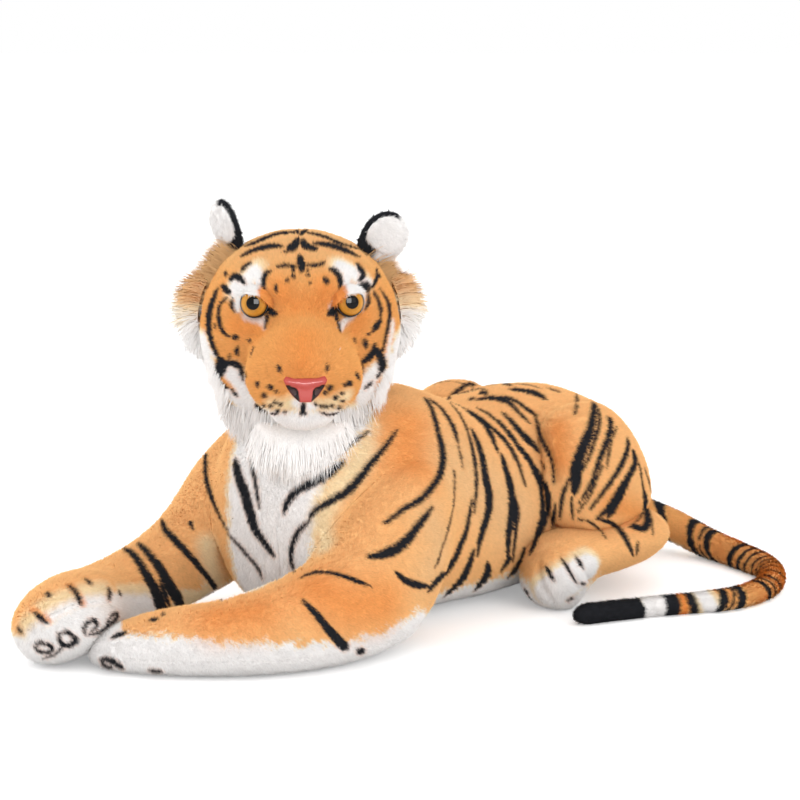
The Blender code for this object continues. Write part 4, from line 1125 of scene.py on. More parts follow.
def coat(points, kind):
    """The colour of the plush at each point, as airbrushed on that kind of piece."""
    look = bpy.context.scene.tiger_coat
    white = all_of(look.white, points)
    if kind == "white":
        return white
    if kind in EAR_PLACES:
        x, y, _ = in_seat(points, EAR_PLACES[kind]).T
        dark = np.maximum(smooth_step(-3, 1, x if kind == "right" else -x), smooth_step(2.5, 4, y))
        return painted(white, look.black, dark)
    if kind == "ruff":
        warm = smooth_step(2, 30, in_head(points)[:, 2] + ripple(points, 9 * MM, 31) * 4)
        colours = painted(white, look.cream, smooth_step(0, 0.5, warm))
        return painted(colours, look.rust, smooth_step(0.3, 1, warm))
    mottle = ripple(points, 40 * MM, 1) * 0.5 + ripple(points, 16 * MM, 2) * 0.3
    colours = painted(all_of(look.orange, points), look.deep, np.clip(0.12 + 0.3 * mottle, 0, 1))
    if kind in LIDS:
        side, outer = LIDS[kind]
        out = in_seat(points, EYE_PLACES[side])[:, 0] * outer
        colours = painted(colours, look.deep, np.full(len(points), 0.85))
        return painted(colours, look.white, smooth_step(-4.5, -2, out + ripple(points, 3 * MM, 13) * 0.8))
    if kind == "tail":
        return banded(colours, points, look)
    ground = body_ground if kind == "body" else face_ground
    return striped(ground(colours, points, look), points, look, kind)


def coloured(mesh, colours):
    """Keeps a colour at each of a mesh's points, for its material to read."""
    layer = mesh.color_attributes.new("Coat", "FLOAT_COLOR", "POINT")
    layer.data.foreach_set("color", np.c_[colours, np.ones(len(colours))].astype(np.float32).ravel())


def dyed(obj, kind):
    """Gives a piece the coat of its kind."""
    coloured(obj.data, coat(read(obj.data)[0], kind))
    obj["coat"] = kind


def add_node(tree, kind, links=(), **settings):
    """A node with its settings, whose inputs are values or come from other nodes' outputs."""
    node = tree.nodes.new(kind)
    for key, value in settings.items():
        setattr(node, key, value)
    for key, value in dict(links).items():
        if isinstance(value, bpy.types.NodeSocket):
            tree.links.new(value, node.inputs[key])
        else:
            node.inputs[key].default_value = value
    return node


def new_material(name):
    """A material and its empty tree, or no tree where it is made already."""
    made = bpy.data.materials.get(name)
    if made:
        return made, None
    made = bpy.data.materials.new(name)
    made.use_nodes = True
    made.node_tree.nodes.clear()
    return made, made.node_tree


def shaded(tree, shader):
    """Ends a material's tree with its shader."""
    add_node(tree, "ShaderNodeOutputMaterial", {"Surface": shader.outputs[0]})


def uneven(tree, colour, place, scale, detail, low, high):
    """A colour made lighter and darker by noise between two levels, and the noise itself."""
    found = {"Vector": place, "Scale": scale, "Detail": detail}
    noise = add_node(tree, "ShaderNodeTexNoise", found).outputs["Fac"]
    level = add_node(tree, "ShaderNodeMapRange", {"Value": noise, "To Min": low, "To Max": high})
    scaled = {0: colour, "Scale": level.outputs["Result"]}
    return add_node(tree, "ShaderNodeVectorMath", scaled, operation="SCALE").outputs["Vector"], noise


def plush_backing():
    """Knitted polyester backing with short pile: matt, mottled at random every 1 mm or so, and a little
    darker than its coat on the whole as painted shade under the pile.
    """
    made, tree = new_material("short_pile_polyester_plush")
    if tree is None:
        return made
    coat_in = add_node(tree, "ShaderNodeAttribute", attribute_name="Coat")
    place = add_node(tree, "ShaderNodeTexCoord").outputs["Object"]
    # Mottled between 0.84 and 1.04 of the coat: random tone, and on the whole a little darker as painted
    # shade under the pile
    tint, fibre = uneven(tree, coat_in.outputs["Color"], place, 900, 2, 0.84, 1.04)
    relief = add_node(tree, "ShaderNodeBump", {"Height": fibre, "Strength": 0.5, "Distance": 0.6 * MM})
    shader = add_node(
        tree,
        "ShaderNodeBsdfPrincipled",
        {
            "Base Color": tint,
            "Normal": relief.outputs["Normal"],
            "Roughness": 0.95,
            "IOR": 1.5,
            "Specular IOR Level": 0.15,
        },
    )
    shaded(tree, shader)
    return made


def fibre_material(name, roughness, gloss):
    """Polyester fibres coloured along their length from their points, with painted shade towards the roots
    and painted light towards the tips, uneven every 6 mm: matt, with a little sheen on long ones.
    """
    made, tree = new_material(name)
    if tree is None:
        return made
    coat_in = add_node(tree, "ShaderNodeAttribute", attribute_name="Coat")
    place = add_node(tree, "ShaderNodeTexCoord").outputs["Object"]
    tint, _ = uneven(tree, coat_in.outputs["Color"], place, 160, 3, 0.9, 1.08)
    shader = add_node(
        tree,
        "ShaderNodeBsdfPrincipled",
        {"Base Color": tint, "Roughness": roughness, "IOR": 1.5, "Specular IOR Level": gloss},
    )
    shaded(tree, shader)
    return made


def stuffed(obj, kind, body, slot, *nodes):
    """Finishes a stuffed piece: its coat, its fabric, what it rides on and what it stands for."""
    dyed(obj, kind)
    obj.data.materials.clear()
    obj.data.materials.append(plush_backing())
    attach(obj, body)
    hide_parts(*nodes)
    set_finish(obj, slot)


def scattered(obj, per_mm2, rng, inside=None):
    """Random roots with their normals over a piece's faces, but for its seam caps and what is covered."""
    mesh = obj.data
    mesh.calc_loop_triangles()
    corners = np.empty(len(mesh.loop_triangles) * 3, np.int32)
    mesh.loop_triangles.foreach_get("vertices", corners)
    corners = corners.reshape(-1, 3)
    points, normals = read(mesh)
    a, b, c = (points[corners[:, k]] for k in range(3))
    across = np.cross(b - a, c - a)
    area = np.linalg.norm(across, axis=1) / 2
    way = across / np.maximum(2 * area, 1e-12)[:, None]
    middle = (a + b + c) / 3
    share = np.ones(len(corners))
    share[(middle[:, 2] < BARE_BELOW) & (way[:, 2] < -0.5)] = 0
    smooth = np.empty(len(corners), bool)
    mesh.loop_triangles.foreach_get("use_smooth", smooth)
    share[~smooth] = 0
    if inside is not None:
        hidden = [
            inside.ray_cast(Vector(at + out * COVER_START), Vector(out), COVER_REACH)[0] is not None
            for at, out in zip(middle, way)
        ]
        share[np.array(hidden)] = 0
    area = area * share
    count = int(area.sum() / MM**2 * per_mm2)
    pick = rng.choice(len(corners), count, p=area / area.sum())
    u = np.sqrt(rng.random(count))
    v = rng.random(count)
    weight = np.stack([1 - u, u * (1 - v), u * v], axis=1)[:, :, None]
    roots = (points[corners[pick]] * weight).sum(axis=1)
    out = (normals[corners[pick]] * weight).sum(axis=1)
    return roots, out / np.linalg.norm(out, axis=1)[:, None]


def blades(name, roots, outward, start, end, length, width, steps, low, high):
    """Thousands of tapered fibres as one mesh, each bending from its start way to its end way.

    The counts are too great for bmesh, so the arrays go straight into the mesh.
    """
    count = len(roots)
    side = unit(np.cross(start, outward))
    rows = []
    shades = []
    for k in range(steps + 1):
        t = k / steps
        middle = roots + length[:, None] * (start * t + (end - start) * t * t / 2)
        # Each fibre's colour runs from low at its root to high at its tip; the callers paint the roots darker
        # than the tips as shade deep in the pile
        shade = low + (high - low) * min(1, t * 1.4)
        if k < steps:
            half = side * (width / 2 * (1 - t) ** 0.6)[:, None]
            rows += [middle - half, middle + half]
            shades += [shade, shade]
        else:
            rows.append(middle)
            shades.append(shade)
    per = len(rows)
    points = np.stack(rows, axis=1).reshape(-1, 3)
    floor = np.repeat(np.minimum(roots[:, 2], LOWEST), per)
    points[:, 2] = np.maximum(points[:, 2], floor)
    colours = np.stack(shades, axis=1).reshape(-1, 3)
    faces = []
    for k in range(steps - 1):
        j = 2 * k
        faces += [(j, j + 1, j + 3), (j, j + 3, j + 2)]
    faces.append((per - 3, per - 2, per - 1))
    base = (np.arange(count) * per)[:, None, None]
    corners = (base + np.array(faces)[None]).reshape(-1)
    mesh = bpy.data.meshes.new(name)
    mesh.vertices.add(len(points))
    mesh.vertices.foreach_set("co", points.astype(np.float32).ravel())
    mesh.loops.add(len(corners))
    mesh.loops.foreach_set("vertex_index", corners.astype(np.int32))
    mesh.polygons.add(len(corners) // 3)
    mesh.polygons.foreach_set("loop_start", np.arange(0, len(corners), 3, dtype=np.int32))
    mesh.update(calc_edges=True)
    mesh.validate()
    coloured(mesh, colours)
    cells = math.ceil(math.sqrt(count))
    column, row = np.arange(count) % cells, np.arange(count) // cells
    at = np.stack([column, row], axis=1) / cells
    u = np.array([[0.15, 0.85][k % 2] if k < per - 1 else 0.5 for k in range(per)])
    v = np.array([0.15 + 0.7 * (k // 2) / steps for k in range(per)])
    spots = (at[:, None] + np.stack([u, v], axis=1)[None] / cells).reshape(-1, 2)
    chart = mesh.uv_layers.new(name="OFBake")
    chart.uv.foreach_set("vector", spots[corners].astype(np.float32).ravel())
    lit = np.repeat(unit(outward), per, axis=0)
    mesh.shade_smooth()
    mesh.normals_split_custom_set_from_vertices(lit.astype(np.float32))
    return link(name, mesh)


def combed(points, kind):
    """Which way the pile is brushed: back along the body and face, and down the limbs and tail."""
    if kind == "face":
        nose = grid_of(HEAD_FRAME @ Vector((0, -100 * MM, -20 * MM)))
        return unit(points - nose)
    if kind == "tail":
        line = grid_of(drawn(TAIL_LINE)) * MM
        nearest = np.linalg.norm(points[:, None] - line[None, ::3], axis=2).argmin(axis=1)
        ways = np.gradient(line[::3], axis=0)
        return unit(ways[nearest])
    return np.tile(unit(grid_of([(0.1, 0.75, -0.65)])), (len(points), 1))


def pile(obj, rng, covers, slot, share):
    """The short pile of one piece, rooted on it and combed over."""
    look = bpy.context.scene.tiger_pile
    roots, out = scattered(obj, look.per_mm2 * share, rng, covers)
    way = combed(roots, obj["coat"])
    way = way + rng.normal(0, STRAY, way.shape)
    flat = unit(way - out * (way * out).sum(axis=1)[:, None])
    lean = rng.normal(look.lean, LEAN_SPREAD, len(roots))[:, None]
    start = out * np.cos(lean) + flat * np.sin(lean)
    lengths = look.length * rng.uniform(0.75, 1.15, len(roots))
    shown = roots + flat * (lengths[:, None] * np.sin(lean))
    mottle = rng.normal(1, SHADE_SPREAD, (len(roots), 1))
    low, high = (np.clip(coat(points, obj["coat"]) * mottle, 0, 1) for points in (roots, shown))
    widths = look.width * rng.uniform(0.7, 1.2, len(roots))
    lit = unit(out * 0.75 + np.cross(start, np.cross(out, start)) * 0.25)
    # The roots are painted 12% darker than the tips: painted shade deep in the pile, where the fibres shade
    # one another
    fibres = blades(f"{obj.name}_pile", roots, lit, start, start, lengths, widths, 1, low * 0.88, high)
    fibres.data.materials.append(fibre_material("plush_fibres", 0.9, 0.1))
    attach(fibres, body_of(obj)[0])
    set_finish(fibres, slot)


def seat(place, *ways):
    """The matrix of a place in mm and its ways."""
    made = Matrix([[*way, 0] for way in ways] + [[0, 0, 0, 1]]).transposed()
    made.translation = Vector(place) * MM
    return made


def pressed(objects):
    """Presses the stitched and folded lines of the photograph into the body's skins."""
    tree = tree_of(*objects)
    for width, depth, points in PRESSED_LINES:
        path = laid(points, tree)
        line = (path, np.zeros(len(path)))
        for obj in objects:
            points, normals = read(obj.data)
            gap = reach_of(points, [line], 3 * width * MM)
            write(obj.data, points - normals * (depth * MM * np.exp(-((gap / (width * MM)) ** 2)))[:, None])


def eased_shoulders(objects):
    """Fills the creases where the upper forelegs meet the torso, so that the fabric runs over them."""
    guide = skin("shoulder_guide", ("torso", "left_foreleg", "right_foreleg"), GUIDE_VOXEL, *GUIDE_ROUNDS)
    tree = tree_of(guide)
    for obj in objects:
        points, _ = read(obj.data)
        _, y, z = points.T / MM
        for k in np.flatnonzero((z > 40) & (y > -215) & (y < 20)):
            at = Vector(points[k])
            found, way, _, gap = tree.find_nearest(at, EASE_REACH)
            if found is None or (found - at).dot(way) < 0:
                continue
            share = smooth_step(40 * MM, 62 * MM, at.z) * (1 - smooth_step(0.6, 1, gap / EASE_REACH))
            points[k] = at.lerp(found, float(share))
        write(obj.data, points)
    bpy.data.objects.remove(guide)


def boolean(obj, cutter, operation):
    """Cuts a skin with a closed one."""
    change = obj.modifiers.new("Seam", "BOOLEAN")
    change.object = cutter
    change.operation = operation
    change.solver = "MANIFOLD"
    applied(obj)


class TIGER_OT_body(bpy.types.Operator):
    """Make the stuffed torso, thighs, forelegs and hind legs with their sewn-on panels"""

    bl_idname = "tiger.body"
    bl_label = "Body"

    def execute(self, context):
        mains = [skin(f"{main}_plush", (main, panel), BODY_VOXEL) for main, panel, _ in SEWN]
        mains += [skin(f"{name}_plush", (name,), BODY_VOXEL) for name in THIGHS]
        eased_shoulders(mains[:3])
        for obj in mains[3:5]:
            points, _ = read(obj.data)
            along, _ = seen_at(to_left(points))
            lift = smooth_step(568, 602, along) + 0.1 * smooth_step(600, 655, along)
            points[:, 2] += lift * (1 - smooth_step(2 * MM, 52 * MM, points[:, 2])) * HOCK_LIFT
            write(obj.data, points)
        pressed(mains)
        made = []
        for obj, (main, panel, facing) in zip(mains, SEWN):
            sole = cut(obj, f"{panel}_plush", seam_of(panel, facing), facing)
            made += [(obj, main), (sole, panel)]
        made += list(zip(mains[len(SEWN) :], THIGHS))
        for obj, node in made:
            stuffed(obj, "body", "body", SLOTS[node], node)
        return {"FINISHED"}


class TIGER_OT_tail(bpy.types.Operator):
    """Make the curled tail and its black tip"""

    bl_idname = "tiger.tail"
    bl_label = "Tail"

    def execute(self, context):
        tail = skin("tail_plush", ("tail", "tail_tip"), TAIL_VOXEL)
        tip = cut(tail, "tail_tip_plush", seam_of("tail_tip", TAIL_TIP_FACING), TAIL_TIP_FACING)
        for obj, node in ((tail, "tail"), (tip, "tail_tip")):
            stuffed(obj, "tail", "tail", SLOTS[node], node)
        return {"FINISHED"}


class TIGER_OT_head(bpy.types.Operator):
    """Make the head with its brow, muzzle and chin"""

    bl_idname = "tiger.head"
    bl_label = "Head"

    def execute(self, context):
        head = skin("head_plush", ("head", "muzzle", "chin"), HEAD_VOXEL)
        points, _ = read(head.data)
        x, y, z = in_head(points).T
        narrow = smooth_step(-22, 16, z) * smooth_step(52, 72, -y)
        points -= ACROSS_HEAD * (x * narrow * NARROWING * MM)[:, None]
        write(head.data, points)
        points, normals = read(head.data)
        local = in_head(points)
        swell = np.zeros(len(points))
        for x, y, z, reach, height in FACE_SWELLINGS:
            for side in (1, -1) if x else (1,):
                gap = np.linalg.norm(local - (side * x, y, z), axis=1)
                swell += height * MM * np.exp(-((gap / reach) ** 2))
        edges = edges_of(head.data)
        points = averaged(points + normals * swell[:, None], edges, SWELL_ROUNDS)
        gap = np.linalg.norm(in_head(points) - BRIDGE_AT, axis=1)
        bridge = BRIDGE_SHARE * np.exp(-((gap / BRIDGE_REACH) ** 2))
        write(head.data, points + (averaged(points, edges, BRIDGE_ROUNDS) - points) * bridge[:, None])
        made = [(head, "head")]
        for node in ("muzzle", "chin"):
            cutter = link(f"{node}_cutter", copy_of(node, PANEL_GROWTH))
            # Flat faces mark the caps that it leaves inside a seam, which bear no pile
            cutter.data.polygons.foreach_set("use_smooth", np.zeros(len(cutter.data.polygons), bool))
            piece = link(f"{node}_plush", head.data.copy())
            boolean(piece, cutter, "INTERSECT")
            boolean(head, cutter, "DIFFERENCE")
            bpy.data.objects.remove(cutter)
            made.append((piece, node))
        for obj, node in made:
            stuffed(obj, "face", "body", SLOTS[node], node)
        return {"FINISHED"}


class TIGER_OT_ears(bpy.types.Operator):
    """Make the two ears, black behind and white inside"""

    bl_idname = "tiger.ears"
    bl_label = "Ears"

    def execute(self, context):
        for node, kind, body in EARS:
            stuffed(skin(f"{node}_plush", (node,), EAR_VOXEL, EAR_ROUNDS), kind, body, SLOTS[node], node)
        return {"FINISHED"}


class TIGER_OT_eyes(bpy.types.Operator):
    """Make the two moulded eyes: a domed iris in a black collar"""

    bl_idname = "tiger.eyes"
    bl_label = "Eyes"

    def execute(self, context):
        look = context.scene.tiger_face
        half, rise = look.eye_size / 2 / MM, look.eye_rise / MM
        radius = (half**2 + rise**2) / (2 * rise)
        turns = [math.asin(half / radius) * k / ARC_STEPS for k in range(ARC_STEPS + 1)]
        arc = [
            (radius * math.sin(turn), radius - rise - radius * math.cos(turn) - DOME_SUNK) for turn in turns
        ]
        rim = [(half + out, height) for out, height in COLLAR]
        for side, place in EYE_PLACES.items():
            at = seat(*place)
            collar = turned(f"{side}_eye_collar", ((0, COLLAR[0][1]), *rim, (0, COLLAR[-1][1])), at)
            collar.data.materials.append(plastic("moulded_black_abs", "#0C0C0D", 0.25, 0))
            dome = turned(f"{side}_eye_painted_dome", (*arc, (half - 0.5, DOME_BACK), (0, DOME_BACK)), at)
            local = in_seat(read(dome.data)[0], place) / half
            disc = dome.data.attributes.new("Disc", "FLOAT_VECTOR", "POINT")
            disc.data.foreach_set("vector", (local * (1, 0, 1)).astype(np.float32).ravel())
            dome.data.materials.append(iris_material(look))
            for obj, node in ((collar, f"{side}_eye"), (dome, f"{side}_eye_dome")):
                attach(obj, "body")
                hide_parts(node)
                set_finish(obj, SLOTS[node])
            kind = f"{side}_lid"
            lid = eyelid(f"{side}_eyelid", radius, radius - rise - DOME_SUNK, LIDS[kind][1], at)
            dyed(lid, kind)
            lid.data.materials.append(plush_backing())
            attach(lid, "body")
            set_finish(lid, SLOTS["muzzle"])
        return {"FINISHED"}


def eyelid(name, radius, middle, outer, at):
    """The fold of plush over an eye: level above it, and falling steeply to the corner by the nose."""
    bm = bmesh.new()
    bmesh.ops.create_icosphere(bm, subdivisions=5, radius=(radius + LID_CLEARANCE) * MM)
    bmesh.ops.translate(bm, verts=bm.verts, vec=(0, middle * MM, 0))
    opening = [
        (Vector((x * outer * MM, 0, z * MM)), Vector((right * outer, 0, up)).normalized())
        for (x, z), (right, up) in LID_EDGES
    ]
    back = (Vector((0, LID_BACK * MM, 0)), Vector((0, 1, 0)))
    foot = (Vector((0, 0, LID_FOOT * MM)), DOWN)
    for place, facing in (*opening, back, foot):
        bmesh.ops.bisect_plane(
            bm,
            geom=[*bm.verts, *bm.edges, *bm.faces],
            plane_co=place,
            plane_no=facing,
            clear_outer=(place, facing) not in opening,
        )
    open_part = [
        face
        for face in bm.faces
        if all((face.calc_center_median() - place).dot(facing) < 0 for place, facing in opening)
    ]
    bmesh.ops.delete(bm, geom=open_part, context="FACES")
    bmesh.ops.recalc_face_normals(bm, faces=bm.faces)
    bmesh.ops.solidify(bm, geom=bm.faces[:], thickness=LID_THICKNESS * MM)
    bmesh.ops.transform(bm, matrix=at, verts=bm.verts)
    return finished(name, bm)


def turned(name, outline, at):
    """A piece turned on a lathe from (radius, height) points in mm about the place's Y axis."""
    bm = bmesh.new()
    verts = [bm.verts.new((r * MM, y * MM, 0)) for r, y in outline]
    edges = [bm.edges.new(pair) for pair in zip(verts, verts[1:])]
    bmesh.ops.spin(
        bm,
        geom=verts + edges,
        cent=(0, 0, 0),
        axis=(0, 1, 0),
        dvec=(0, 0, 0),
        angle=2 * math.pi,
        steps=48,
        use_merge=True,
        use_duplicate=False,
    )
    bmesh.ops.transform(bm, matrix=at, verts=bm.verts)
    return finished(name, bm)


def iris_material(look):
    """Injection-moulded ABS painted on the back: a black pupil, an amber iris and a dark rim, glossy."""
    made, tree = new_material("painted_moulded_abs")
    if tree is None:
        return made
    disc = add_node(tree, "ShaderNodeAttribute", attribute_name="Disc")
    away = add_node(tree, "ShaderNodeVectorMath", {0: disc.outputs["Vector"]}, operation="LENGTH")
    ramp = add_node(tree, "ShaderNodeValToRGB", {"Fac": away.outputs["Value"]})
    stops = ramp.color_ramp.elements
    amber = list(look.iris)
    pupil = look.pupil_share
    stops[0].position, stops[0].color = pupil - 0.02, (0.004, 0.004, 0.004, 1)
    stops[1].position, stops[1].color = pupil + 0.02, (*[c * 0.8 for c in amber], 1)
    for where, shade in (
        (0.76, (*[min(1, c * 1.15) for c in amber], 1)),
        (0.88, (*[c * 0.7 for c in amber], 1)),
        (0.93, (0.02, 0.012, 0.006, 1)),
    ):
        stops.new(where).color = shade
    tint, _ = uneven(tree, ramp.outputs["Color"], disc.outputs["Vector"], 9, 3, 0.8, 1.15)
    shader = add_node(
        tree,
        "ShaderNodeBsdfPrincipled",
        {"Base Color": tint, "Roughness": 0.04, "IOR": 1.5, "Specular IOR Level": 0.14},
    )
    shaded(tree, shader)
    return made


def plastic(name, hex_code, roughness, coat_weight, gloss=0.5):
    """Moulded plastic with a fine grain, of one colour, or of the points' colours where none is given."""
    made, tree = new_material(name)
    if tree is None:
        return made
    place = add_node(tree, "ShaderNodeTexCoord").outputs["Object"]
    grain = add_node(tree, "ShaderNodeTexNoise", {"Vector": place, "Scale": 700, "Detail": 2})
    relief = add_node(
        tree, "ShaderNodeBump", {"Height": grain.outputs["Fac"], "Strength": 0.12, "Distance": 0.1 * MM}
    )
    if hex_code:
        paint = (*linear(hex_code), 1)
    else:
        paint = add_node(tree, "ShaderNodeAttribute", attribute_name="Coat").outputs["Color"]
    shader = add_node(
        tree,
        "ShaderNodeBsdfPrincipled",
        {
            "Base Color": paint,
            "Normal": relief.outputs["Normal"],
            "Roughness": roughness,
            "IOR": 1.5,
            "Specular IOR Level": gloss,
            "Coat Weight": coat_weight,
            "Coat Roughness": 0.12,
        },
    )
    shaded(tree, shader)
    return made


class TIGER_OT_nose(bpy.types.Operator):
    """Make the moulded pink nose with its rolled top and black nostrils, and finish the washers"""

    bl_idname = "tiger.nose"
    bl_label = "Nose"

    def execute(self, context):
        look = context.scene.tiger_face
        nose = skin("moulded_nose", ("nose",), NOSE_VOXEL, NOSE_ROUNDS)
        points, _ = read(nose.data)
        local = in_seat(points, NOSE_PLACE)
        front = 1 - smooth_step(-4, -1, local[:, 1])
        flat = local * (1, 0, 1) * MM
        halves = grid_of([half for *_, half in NOSTRIL]) * MM
        holes = [(grid_of([(side * x, 0, z) for x, z, _ in NOSTRIL]) * MM, halves) for side in (1, -1)]
        top = [(x, 0, 5.6 - 0.0108 * (13 - abs(x)) ** 2) for x, _ in NOSE_ROLL]
        roll = [(grid_of(top) * MM, grid_of([half for _, half in NOSE_ROLL]) * MM)]
        to_hole = reach_of(flat, holes, 3 * MM) / MM
        to_roll = reach_of(flat, roll, 3 * MM) / MM
        hole = 1 - smooth_step(-1.2, 0.7, to_hole)
        high = 1 - smooth_step(-1.5, 2.2, to_roll)
        out = (high * ROLL_HEIGHT - hole * NOSTRIL_DEPTH) * front * MM
        write(nose.data, points - out[:, None] * NOSE_PLACE[2])
        dark = 1 - smooth_step(-0.3, 0.25, to_hole)
        coloured(nose.data, painted(all_of(look.nose, points), look.nostril, dark * front))
        nose.data.materials.append(plastic("moulded_pink_abs", None, 0.38, 0.12, 0.2))
        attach(nose, "body")
        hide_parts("nose")
        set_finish(nose, SLOTS["nose"])
        # Moulded nylon, unpolished, so it looks matt and milky
        milky = plastic("moulded_nylon", "#DBDBD6", 0.5, 0)
        for node in ("left_eye_washer", "right_eye_washer", "nose_washer"):
            frame["nodes"][node].data.materials.clear()
            frame["nodes"][node].data.materials.append(milky)
        return {"FINISHED"}


class TIGER_OT_ruff(bpy.types.Operator):
    """Make the long white ruff round the cheeks and throat"""

    bl_idname = "tiger.ruff"
    bl_label = "Ruff"

    def execute(self, context):
        look = context.scene.tiger_ruff
        rng = np.random.default_rng(RUFF_SEED)
        bases = []
        for node in RUFFS:
            base = skin(f"{node}_plush", (node,), BODY_VOXEL, RUFF_ROUNDS)
            points, normals = read(base.data)
            points -= normals * RUFF_SINK * MM
            if node != "throat_ruff":
                forward = np.maximum(-in_head(points)[:, 1] - 4, 0) * MM
                points += BACK_OF_HEAD * (RUFF_SWEEP * forward)[:, None]
                x, _, z = in_head(points).T
                points -= ACROSS_HEAD * (x * RUFF_NARROWING * smooth_step(-8, 22, -z) * MM)[:, None]
            else:
                top = smooth_step(-72, -57, in_head(points)[:, 2])[:, None]
                points += (BACK_OF_HEAD - grid_of(DOWN)) * THROAT_SHIFT * top * MM
            write(base.data, points)
            stuffed(base, "ruff", "body", SLOTS[node], node)
            bases.append((base, node, 1))
        bases.append((bpy.data.objects["head_plush"], "throat_ruff", HEAD_HAIR_SHARE))
        for base, node, share in bases:
            roots, out = scattered(base, look.per_mm2 * share, rng)
            if base.name == "head_plush":
                x, y, z = in_head(roots).T
                sides = smooth_step(0, 8, y + 8) * smooth_step(36, 44, np.abs(x)) * (z < 58)
                under = smooth_step(0, 8, -z - 42) * smooth_step(0, 10, y + 66)
                cheeks = smooth_step(0, 14, -z - 14) * smooth_step(0, 10, np.abs(x) - 42) * (y > -36)
                bearing = np.maximum(np.maximum(sides, under), cheeks * 0.7)
                kept = (rng.random(len(x)) < bearing) & (y < 34)
                roots, out = roots[kept], out[kept]
            hair = long_hair(f"{base.name}_hair", roots, out, rng, look)
            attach(hair, "body")
            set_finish(hair, SLOTS[node])
        return {"FINISHED"}


def long_hair(name, roots, out, rng, look):
    """Long locks that leave the cheek outwards and hang over, gathered into points."""
    count = len(roots)
    local = in_head(roots)
    radial = unit(local * (1, 0, 1)) @ HEAD_WAYS.T
    hang = smooth_step(-14, 6, -local[:, 2])[:, None]
    fall = grid_of(DOWN)
    stray = rng.normal(0, 0.13, (2, count, 3))
    start = unit(out * 0.3 + radial * (0.75 - 0.5 * hang) + fall * hang * 0.7 + stray[0])
    end = unit(out * 0.08 + radial * (0.6 - 0.5 * hang) + fall * (0.3 + 0.6 * hang) + stray[1])
    wave = np.stack([ripple(roots, 11 * MM, seed) for seed in (21, 22, 23)], axis=1)
    short = smooth_step(0, 16, -local[:, 2]) * (1 - smooth_step(30, 50, -local[:, 2]))
    low = smooth_step(32, 50, -local[:, 2])
    lengths = look.length * rng.uniform(0.5, 1.1, count) * (1 - 0.5 * short + 0.3 * low)
    heads = rng.choice(count, max(8, count // 40), replace=False)
    nearest = np.concatenate(
        [
            np.linalg.norm(part[:, None] - roots[heads][None], axis=2).argmin(axis=1)
            for part in np.array_split(roots, max(1, count // 2000))
        ]
    )
    pull = (roots[heads][nearest] - roots) / lengths[:, None]
    end = end + wave * 0.2 + pull * 0.6
    colours = np.clip(coat(roots, "ruff") * rng.normal(1, 0.03, (count, 1)), 0, 1)
    # The tips are painted a little lighter than the roots: painted light on the ends of the locks, with shade
    # deeper in
    tips = np.clip(colours * 1.04 + 0.02, 0, 1)
    widths = look.width * rng.uniform(0.7, 1.2, count)
    front = -BACK_OF_HEAD
    facing = np.where(out @ front > -0.15, 1, -1)[:, None] * front
    lit = unit(out * 0.85 + facing * 0.35)
    fibres = blades(name, roots, lit, start, end, lengths, widths, 3, colours, tips)
    fibres.data.materials.append(fibre_material("long_pile_fibres", 0.6, 0.3))
    return fibres


class TIGER_OT_pile(bpy.types.Operator):
    """Grow the short pile over the whole coat"""

    bl_idname = "tiger.pile"
    bl_label = "Short pile"

    def execute(self, context):
        rng = np.random.default_rng(PILE_SEED)
        covers = tree_of(*[o for o in context.scene.objects if "coat" in o or o.name == "moulded_nose"])
        for obj in [o for o in context.scene.objects if "coat" in o and o["coat"] != "ruff"]:
            pile(obj, rng, covers, obj["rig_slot"], TORSO_SHARE if obj.name == "torso_plush" else 1)
        return {"FINISHED"}


def seen_directly(tree):
    """1 for rays from the camera, reflected to it or through glass to it, and 0 for the light itself."""
    path = add_node(tree, "ShaderNodeLightPath").outputs
    seen = path["Is Camera Ray"]
    for other in ("Is Glossy Ray", "Is Transmission Ray"):
        seen = add_node(tree, "ShaderNodeMath", {0: seen, 1: path[other]}, operation="MAXIMUM").outputs[0]
    return seen


def painted_board():
    """Painted board, matt and near white; the camera sees it a little lighter, shadows stay."""
    made, tree = new_material("matt_painted_board")
    lift = add_node(tree, "ShaderNodeMath", {0: seen_directly(tree), 1: FLOOR_LIFT}, operation="MULTIPLY")
    board = add_node(tree, "ShaderNodeBsdfDiffuse", {"Color": (*[FLOOR_GREY] * 3, 1)})
    glow = add_node(tree, "ShaderNodeEmission", {"Color": (1, 1, 1, 1), "Strength": lift.outputs[0]})
    shaded(tree, add_node(tree, "ShaderNodeAddShader", {0: board.outputs[0], 1: glow.outputs[0]}))
    return made


def studio_light():
    """Even white light from all round, plain white where the camera sees it."""
    world = bpy.data.worlds.new("studio")
    world.use_nodes = True
    tree = world.node_tree
    tree.nodes.clear()
    seen = seen_directly(tree)
    level = add_node(tree, "ShaderNodeMapRange", {"Value": seen, "To Min": AMBIENT, "To Max": 1})
    white = {"Color": (1, 1, 1, 1), "Strength": level.outputs["Result"]}
    sky = add_node(tree, "ShaderNodeBackground", white)
    add_node(tree, "ShaderNodeOutputWorld", {"Surface": sky.outputs[0]})
    return world


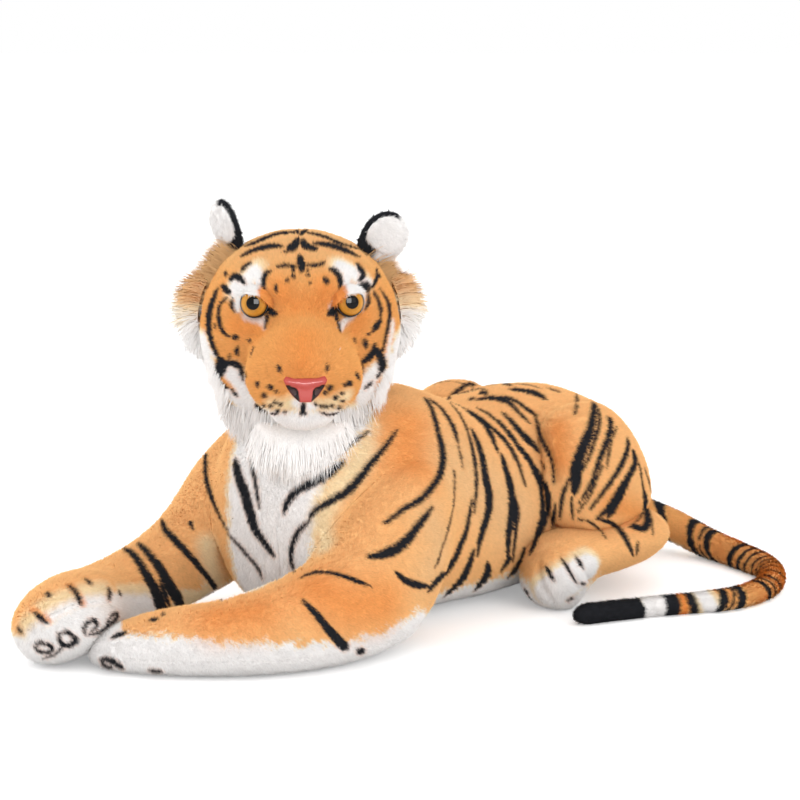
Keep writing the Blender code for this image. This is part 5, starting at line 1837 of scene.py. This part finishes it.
class TIGER_OT_stage(bpy.types.Operator):
    """Set up the floor, lamps and the photograph's camera"""

    bl_idname = "tiger.stage"
    bl_label = "Stage"

    def execute(self, context):
        scene = context.scene
        scene.view_settings.view_transform = "Standard"
        bm = bmesh.new()
        bmesh.ops.create_grid(bm, x_segments=1, y_segments=1, size=FLOOR_HALF)
        floor = finished("floor", bm)
        floor.data.materials.append(painted_board())
        scene.world = studio_light()
        for name, way, away, size, power in LAMPS:
            lamp = bpy.data.lights.new(name, "AREA")
            lamp.size = size
            lamp.energy = power
            obj = link(name, lamp)
            toward = Vector(way).normalized()
            obj.location = LOOKED_AT + toward * away
            obj.rotation_euler = toward.to_track_quat("Z", "Y").to_euler()
            # The catch lamp makes the highlights in the eyes and on the nose, and lights nothing else
            obj.visible_diffuse = name != "catch_lamp"
        lens = bpy.data.cameras.new("camera")
        lens.lens = LENS_MM
        lens.sensor_width = SENSOR_MM
        lens.clip_end = 20
        camera = link("camera", lens)
        camera.location = CAMERA_AT
        camera.rotation_euler = AHEAD.to_track_quat("-Z", "Y").to_euler()
        scene.camera = camera
        return {"FINISHED"}


STEPS = (
    TIGER_OT_stage,
    TIGER_OT_body,
    TIGER_OT_tail,
    TIGER_OT_head,
    TIGER_OT_ears,
    TIGER_OT_eyes,
    TIGER_OT_nose,
    TIGER_OT_ruff,
    TIGER_OT_pile,
)
SETTINGS = (
    ("tiger_coat", TigerCoat),
    ("tiger_pile", TigerPile),
    ("tiger_ruff", TigerRuff),
    ("tiger_face", TigerFace),
)


class TIGER_PT_panel(bpy.types.Panel):
    """Lists the tiger's steps and settings"""

    bl_idname = "TIGER_PT_panel"
    bl_label = "Plush tiger"
    bl_space_type = "VIEW_3D"
    bl_region_type = "UI"
    bl_category = "Tiger"

    def draw(self, context):
        for step in STEPS:
            self.layout.operator(step.bl_idname)
        for name, group in SETTINGS:
            box = self.layout.box()
            for key in group.__annotations__:
                box.prop(getattr(context.scene, name), key)


def register():
    for name, group in SETTINGS:
        bpy.utils.register_class(group)
        setattr(bpy.types.Scene, name, bpy.props.PointerProperty(type=group))
    for made in (*STEPS, TIGER_PT_panel):
        bpy.utils.register_class(made)


def unregister():
    for made in reversed((*STEPS, TIGER_PT_panel)):
        bpy.utils.unregister_class(made)
    for name, group in reversed(SETTINGS):
        delattr(bpy.types.Scene, name)
        bpy.utils.unregister_class(group)


def main():
    register()
    for step in STEPS:
        getattr(bpy.ops.tiger, step.bl_idname.partition(".")[2])()
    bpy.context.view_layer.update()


if __name__ == "__main__":
    main()
